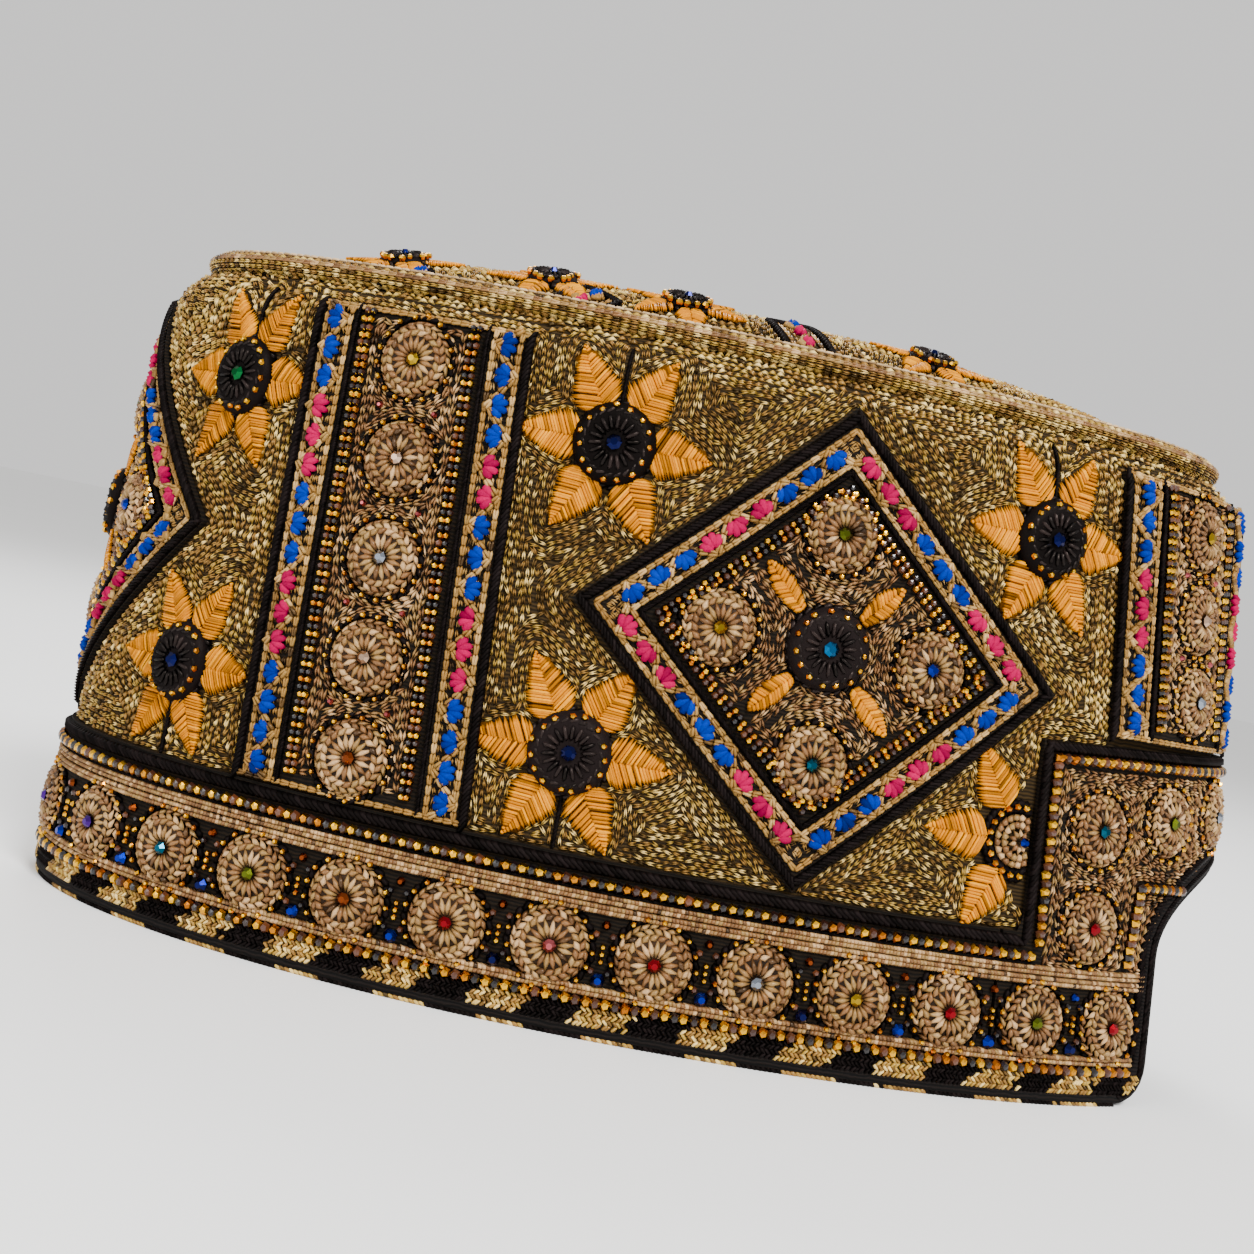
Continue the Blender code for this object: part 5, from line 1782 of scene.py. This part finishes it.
def threads(colours):
    """The thread, cloth and bead materials by name."""
    khaki, tan, orange, blue, pink = (tuple(getattr(colours, key)) for key in
                                      ("khaki", "tan", "orange", "blue", "pink"))
    made = {}
    # Each row: key, name, tones, roughness, shine and colour of the glint
    for key, name, tones, *look in (
            ("khaki", "khaki_thread", (scaled(khaki, 0.08), scaled(khaki, 0.45), khaki,
                                       (0.50, 0.31, 0.05), (1.0, 0.72, 0.26)), 0.32, 0.6,
             (1.0, 0.72, 0.35)),
            ("tan", "tan_thread", (scaled(tan, 0.12), scaled(tan, 0.6), tan, (0.32, 0.19, 0.06),
                                   (0.62, 0.38, 0.18)), 0.36, 0.4, (1.0, 0.8, 0.6)),
            ("strip", "strip_thread", (scaled(tan, 0.14), scaled(khaki, 0.7), khaki, (0.32, 0.18, 0.045),
                                       (0.62, 0.38, 0.14)), 0.36, 0.4, (1.0, 0.75, 0.45)),
            # Near-black tan: painted shade between the rosette spokes and between the rows of stitches on
            # the seam cord's core
            ("deep", "deep_tan_thread", (scaled(tan, 0.03), scaled(tan, 0.08), scaled(tan, 0.14)),
             0.5, 0.1),
            ("light", "light_thread", ((0.25, 0.14, 0.05), (0.52, 0.34, 0.16), (0.8, 0.55, 0.3))),
            ("black", "black_thread", ((0.001, 0.001, 0.001), (0.004, 0.003, 0.003),
                                       (0.010, 0.007, 0.007)), 0.5, 0.04, (1.0, 0.8, 0.7)),
            ("wheel", "glossy_black_thread", ((0.001, 0.001, 0.001), (0.005, 0.004, 0.004),
                                              (0.022, 0.015, 0.014)), 0.35, 0.12, (1.0, 0.8, 0.7)),
            ("satin", "orange_satin_thread", (scaled(orange, 0.22), scaled(orange, 0.7), orange,
                                              (0.95, 0.38, 0.0)), 0.36, 0.18, (1.0, 0.40, 0.0)),
            # Dark orange padding: painted shade between the satin threads
            ("pad", "petal_padding", (scaled(orange, 0.10), scaled(orange, 0.18), scaled(orange, 0.28)),
             0.6, 0.03),
            ("blue", "blue_satin_thread", (scaled(blue, 0.4), blue, (0.0, 0.03, 0.34)), 0.5, 0.08,
             (0.1, 0.3, 1.0)),
            ("pink", "pink_satin_thread", (scaled(pink, 0.5), pink, (0.52, 0.0, 0.08)), 0.5, 0.06,
             (1.0, 0.05, 0.4))):
        made[key] = thread_material(name, tones, *look)
    for key, name, dark, light in (
            # Near-black ground cloth: painted shade in the gaps between the chain stitches
            ("ground", "ground_cloth_painted_shade", (0.008, 0.005, 0.002), (0.035, 0.02, 0.006)),
            # Near-black backing under the trims: painted shade in the gaps between their stitches
            ("backing", "trim_backing_painted_shade", (0.002, 0.0015, 0.001), (0.010, 0.006, 0.003)),
            ("lining", "lining_cloth", (0.22, 0.15, 0.08), (0.42, 0.31, 0.18)),
            ("tape", "binding_tape", (0.002, 0.002, 0.002), (0.010, 0.007, 0.006))):
        made[key] = cloth_material(name, dark, light)
    for key, name, metallic, roughness, coat in (
            ("gold", "gold_beads", 1.0, 0.22, 0.0), ("glass", "dark_glass_beads", 0.0, 0.2, 0.1),
            ("stone", "cut_stones", 1.0, 0.18, 0.12)):
        made[key] = bead_material(name, metallic, roughness, coat)
    return made


class CapOperator:
    """What the cap's operators share."""
    bl_options = {"REGISTER"}

    @classmethod
    def poll(cls, context):
        return context.scene is not None


class CAP_OT_cloth(CapOperator, bpy.types.Operator):
    """Makes the wall and the crown with their lining, and the cloth under the trims"""
    bl_idname = "cap.cloth"
    bl_label = "Cloth"

    def execute(self, context):
        mats = KIT["threads"]
        cloth_wall([mats["ground"], mats["lining"]])
        cloth_crown([mats["ground"], mats["lining"]])
        backings(mats["backing"])
        return {"FINISHED"}


class CAP_OT_ground(CapOperator, bpy.types.Operator):
    """Lays the chain stitch of the open ground"""
    bl_idname = "cap.ground"
    bl_label = "Ground stitches"

    def execute(self, context):
        ground_stitches(KIT["threads"]["khaki"], context.scene.cap_sizes, ground_field(), crown_rows())
        return {"FINISHED"}


def planned(name):
    """A pile of the plan, which the layout operator makes."""
    if "piles" not in KIT:
        raise RuntimeError("The layout comes first")
    return KIT["piles"][name]


class CAP_OT_layout(CapOperator, bpy.types.Operator):
    """Plans where the cords, rosettes, triangles, flowers and beads lie"""
    bl_idname = "cap.layout"
    bl_label = "Layout"

    def execute(self, context):
        names = ("fill", "strip", "zigzag", "petal_pad", "wheel", "cord", "gold", "stone", "dome",
                 "black_dome", "black_wheel", "satin", "blue", "pink", "braid", "dark_bead")
        piles = {name: Pile() for name in names}
        for lay in (lay_rim, lay_panel, lay_bands, lay_diamonds, lay_flowers, lay_crown):
            lay(piles)
        KIT["piles"] = piles
        return {"FINISHED"}


class CAP_OT_rosettes(CapOperator, bpy.types.Operator):
    """Makes the tan rosettes and the black middles of the flowers"""
    bl_idname = "cap.rosettes"
    bl_label = "Rosettes and flower middles"

    def execute(self, context):
        mats = KIT["threads"]
        bosses = ["flower_boss_%02d" % k for k in range(1, FLOWER_COUNT + 1)]
        bosses += ["diamond_right_boss", "diamond_left_boss", "diamond_back_boss"]
        # Cushions in near-black tan: painted shade between the spokes of the rosettes
        lay_pile("rosette_cushions", planned("dome"), "dome", mats["deep"])
        lay_pile("boss_cushions", planned("black_dome"), "dome", mats["black"], bosses)
        lay_pile("rosette_wheels", planned("wheel"), "fine", mats["tan"])
        lay_pile("boss_wheels", planned("black_wheel"), "strand", mats["wheel"])
        return {"FINISHED"}


class CAP_OT_cords(CapOperator, bpy.types.Operator):
    """Makes the black cords and the chain stitch of the trims"""
    bl_idname = "cap.cords"
    bl_label = "Cords and chains"

    def execute(self, context):
        mats = KIT["threads"]
        lay_pile("black_cords", planned("cord"), "strand", mats["black"])
        lay_pile("tan_filling", planned("fill"), "link", mats["tan"])
        lay_pile("strip_filling", planned("strip"), "link", mats["strip"])
        lay_pile("triangle_zigzag", planned("zigzag"), "fat_link", mats["strip"])
        lay_pile("tan_chain", planned("braid"), "fat_link", mats["strip"])
        return {"FINISHED"}


class CAP_OT_petals(CapOperator, bpy.types.Operator):
    """Makes the satin petals and leaves with their padding"""
    bl_idname = "cap.petals"
    bl_label = "Petals"

    def execute(self, context):
        mats = KIT["threads"]
        petals = ["petals_%02d" % k for k in range(1, FLOWER_COUNT + 1)]
        lay_pile("satin_petals", planned("satin"), "strand", mats["satin"], petals)
        # The padding is dark orange: painted shade between the satin threads
        lay_pile("petal_padding", planned("petal_pad"), "lobe", mats["pad"])
        return {"FINISHED"}


class CAP_OT_triangles(CapOperator, bpy.types.Operator):
    """Makes the blue and pink triangles of the strips"""
    bl_idname = "cap.triangles"
    bl_label = "Triangles"

    def execute(self, context):
        for name in ("blue", "pink"):
            lay_pile(name + "_triangles", planned(name), "lobe", KIT["threads"][name])
        return {"FINISHED"}


class CAP_OT_beads(CapOperator, bpy.types.Operator):
    """Makes the seed beads and the cut stones"""
    bl_idname = "cap.beads"
    bl_label = "Beads and stones"

    def execute(self, context):
        mats = KIT["threads"]
        scale = context.scene.cap_sizes.bead_scale
        lay_pile("gold_seed_beads", planned("gold"), "bead", mats["gold"], scale=scale)
        lay_pile("dark_seed_beads", planned("dark_bead"), "bead", mats["glass"], scale=scale)
        lay_pile("cut_stones", planned("stone"), "stone", mats["stone"], scale=scale)
        return {"FINISHED"}


class CAP_OT_edges(CapOperator, bpy.types.Operator):
    """Makes the bound edge and the seam cord"""
    bl_idname = "cap.edges"
    bl_label = "Binding and seam cord"

    def execute(self, context):
        mats = KIT["threads"]
        binding([mats["tape"]])
        binding_threads(mats["black"], mats["khaki"])
        # The seam cord's core is near-black tan: painted shade between the rows of stitches over it
        piping(mats["deep"], mats["tan"], mats["khaki"], mats["light"])
        return {"FINISHED"}


class CAP_OT_stage(CapOperator, bpy.types.Operator):
    """Sets up floor, lights and camera"""
    bl_idname = "cap.stage"
    bl_label = "Stage"

    def execute(self, context):
        studio(context.scene.cap_colours)
        camera_from_photo()
        return {"FINISHED"}


class CAP_PT_panel(bpy.types.Panel):
    """Lists the cap's operators and settings"""
    bl_label = "Embroidered cap"
    bl_space_type = "VIEW_3D"
    bl_region_type = "UI"
    bl_category = "Cap"

    def draw(self, context):
        for name in OPERATORS:
            self.layout.operator(name)
        for group in (context.scene.cap_sizes, context.scene.cap_colours):
            for key in group.__annotations__:
                self.layout.prop(group, key)


OPERATORS = ("cap.stage", "cap.cloth", "cap.ground", "cap.layout", "cap.rosettes", "cap.cords",
             "cap.petals", "cap.triangles", "cap.beads", "cap.edges")
CLASSES = (CapSizes, CapColours, CAP_OT_stage, CAP_OT_cloth, CAP_OT_ground, CAP_OT_layout,
           CAP_OT_rosettes, CAP_OT_cords, CAP_OT_petals, CAP_OT_triangles, CAP_OT_beads, CAP_OT_edges,
           CAP_PT_panel)


def register():
    """Registers the classes and the settings."""
    for cls in CLASSES:
        bpy.utils.register_class(cls)
    bpy.types.Scene.cap_sizes = bpy.props.PointerProperty(type=CapSizes)
    bpy.types.Scene.cap_colours = bpy.props.PointerProperty(type=CapColours)


def unregister():
    """Takes the classes and the settings away."""
    del bpy.types.Scene.cap_colours
    del bpy.types.Scene.cap_sizes
    for cls in reversed(CLASSES):
        bpy.utils.unregister_class(cls)


def main():
    """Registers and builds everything."""
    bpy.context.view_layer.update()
    register()
    KIT["shapes"] = make_shapes()
    KIT["tree"] = laying_tree()
    KIT["threads"] = threads(bpy.context.scene.cap_colours)
    for name in OPERATORS:
        group, call = name.split(".")
        getattr(getattr(bpy.ops, group), call)()
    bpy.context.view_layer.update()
    for obj in KIT["shapes"].values():
        bpy.data.objects.remove(obj)


if __name__ == "__main__":
    main()
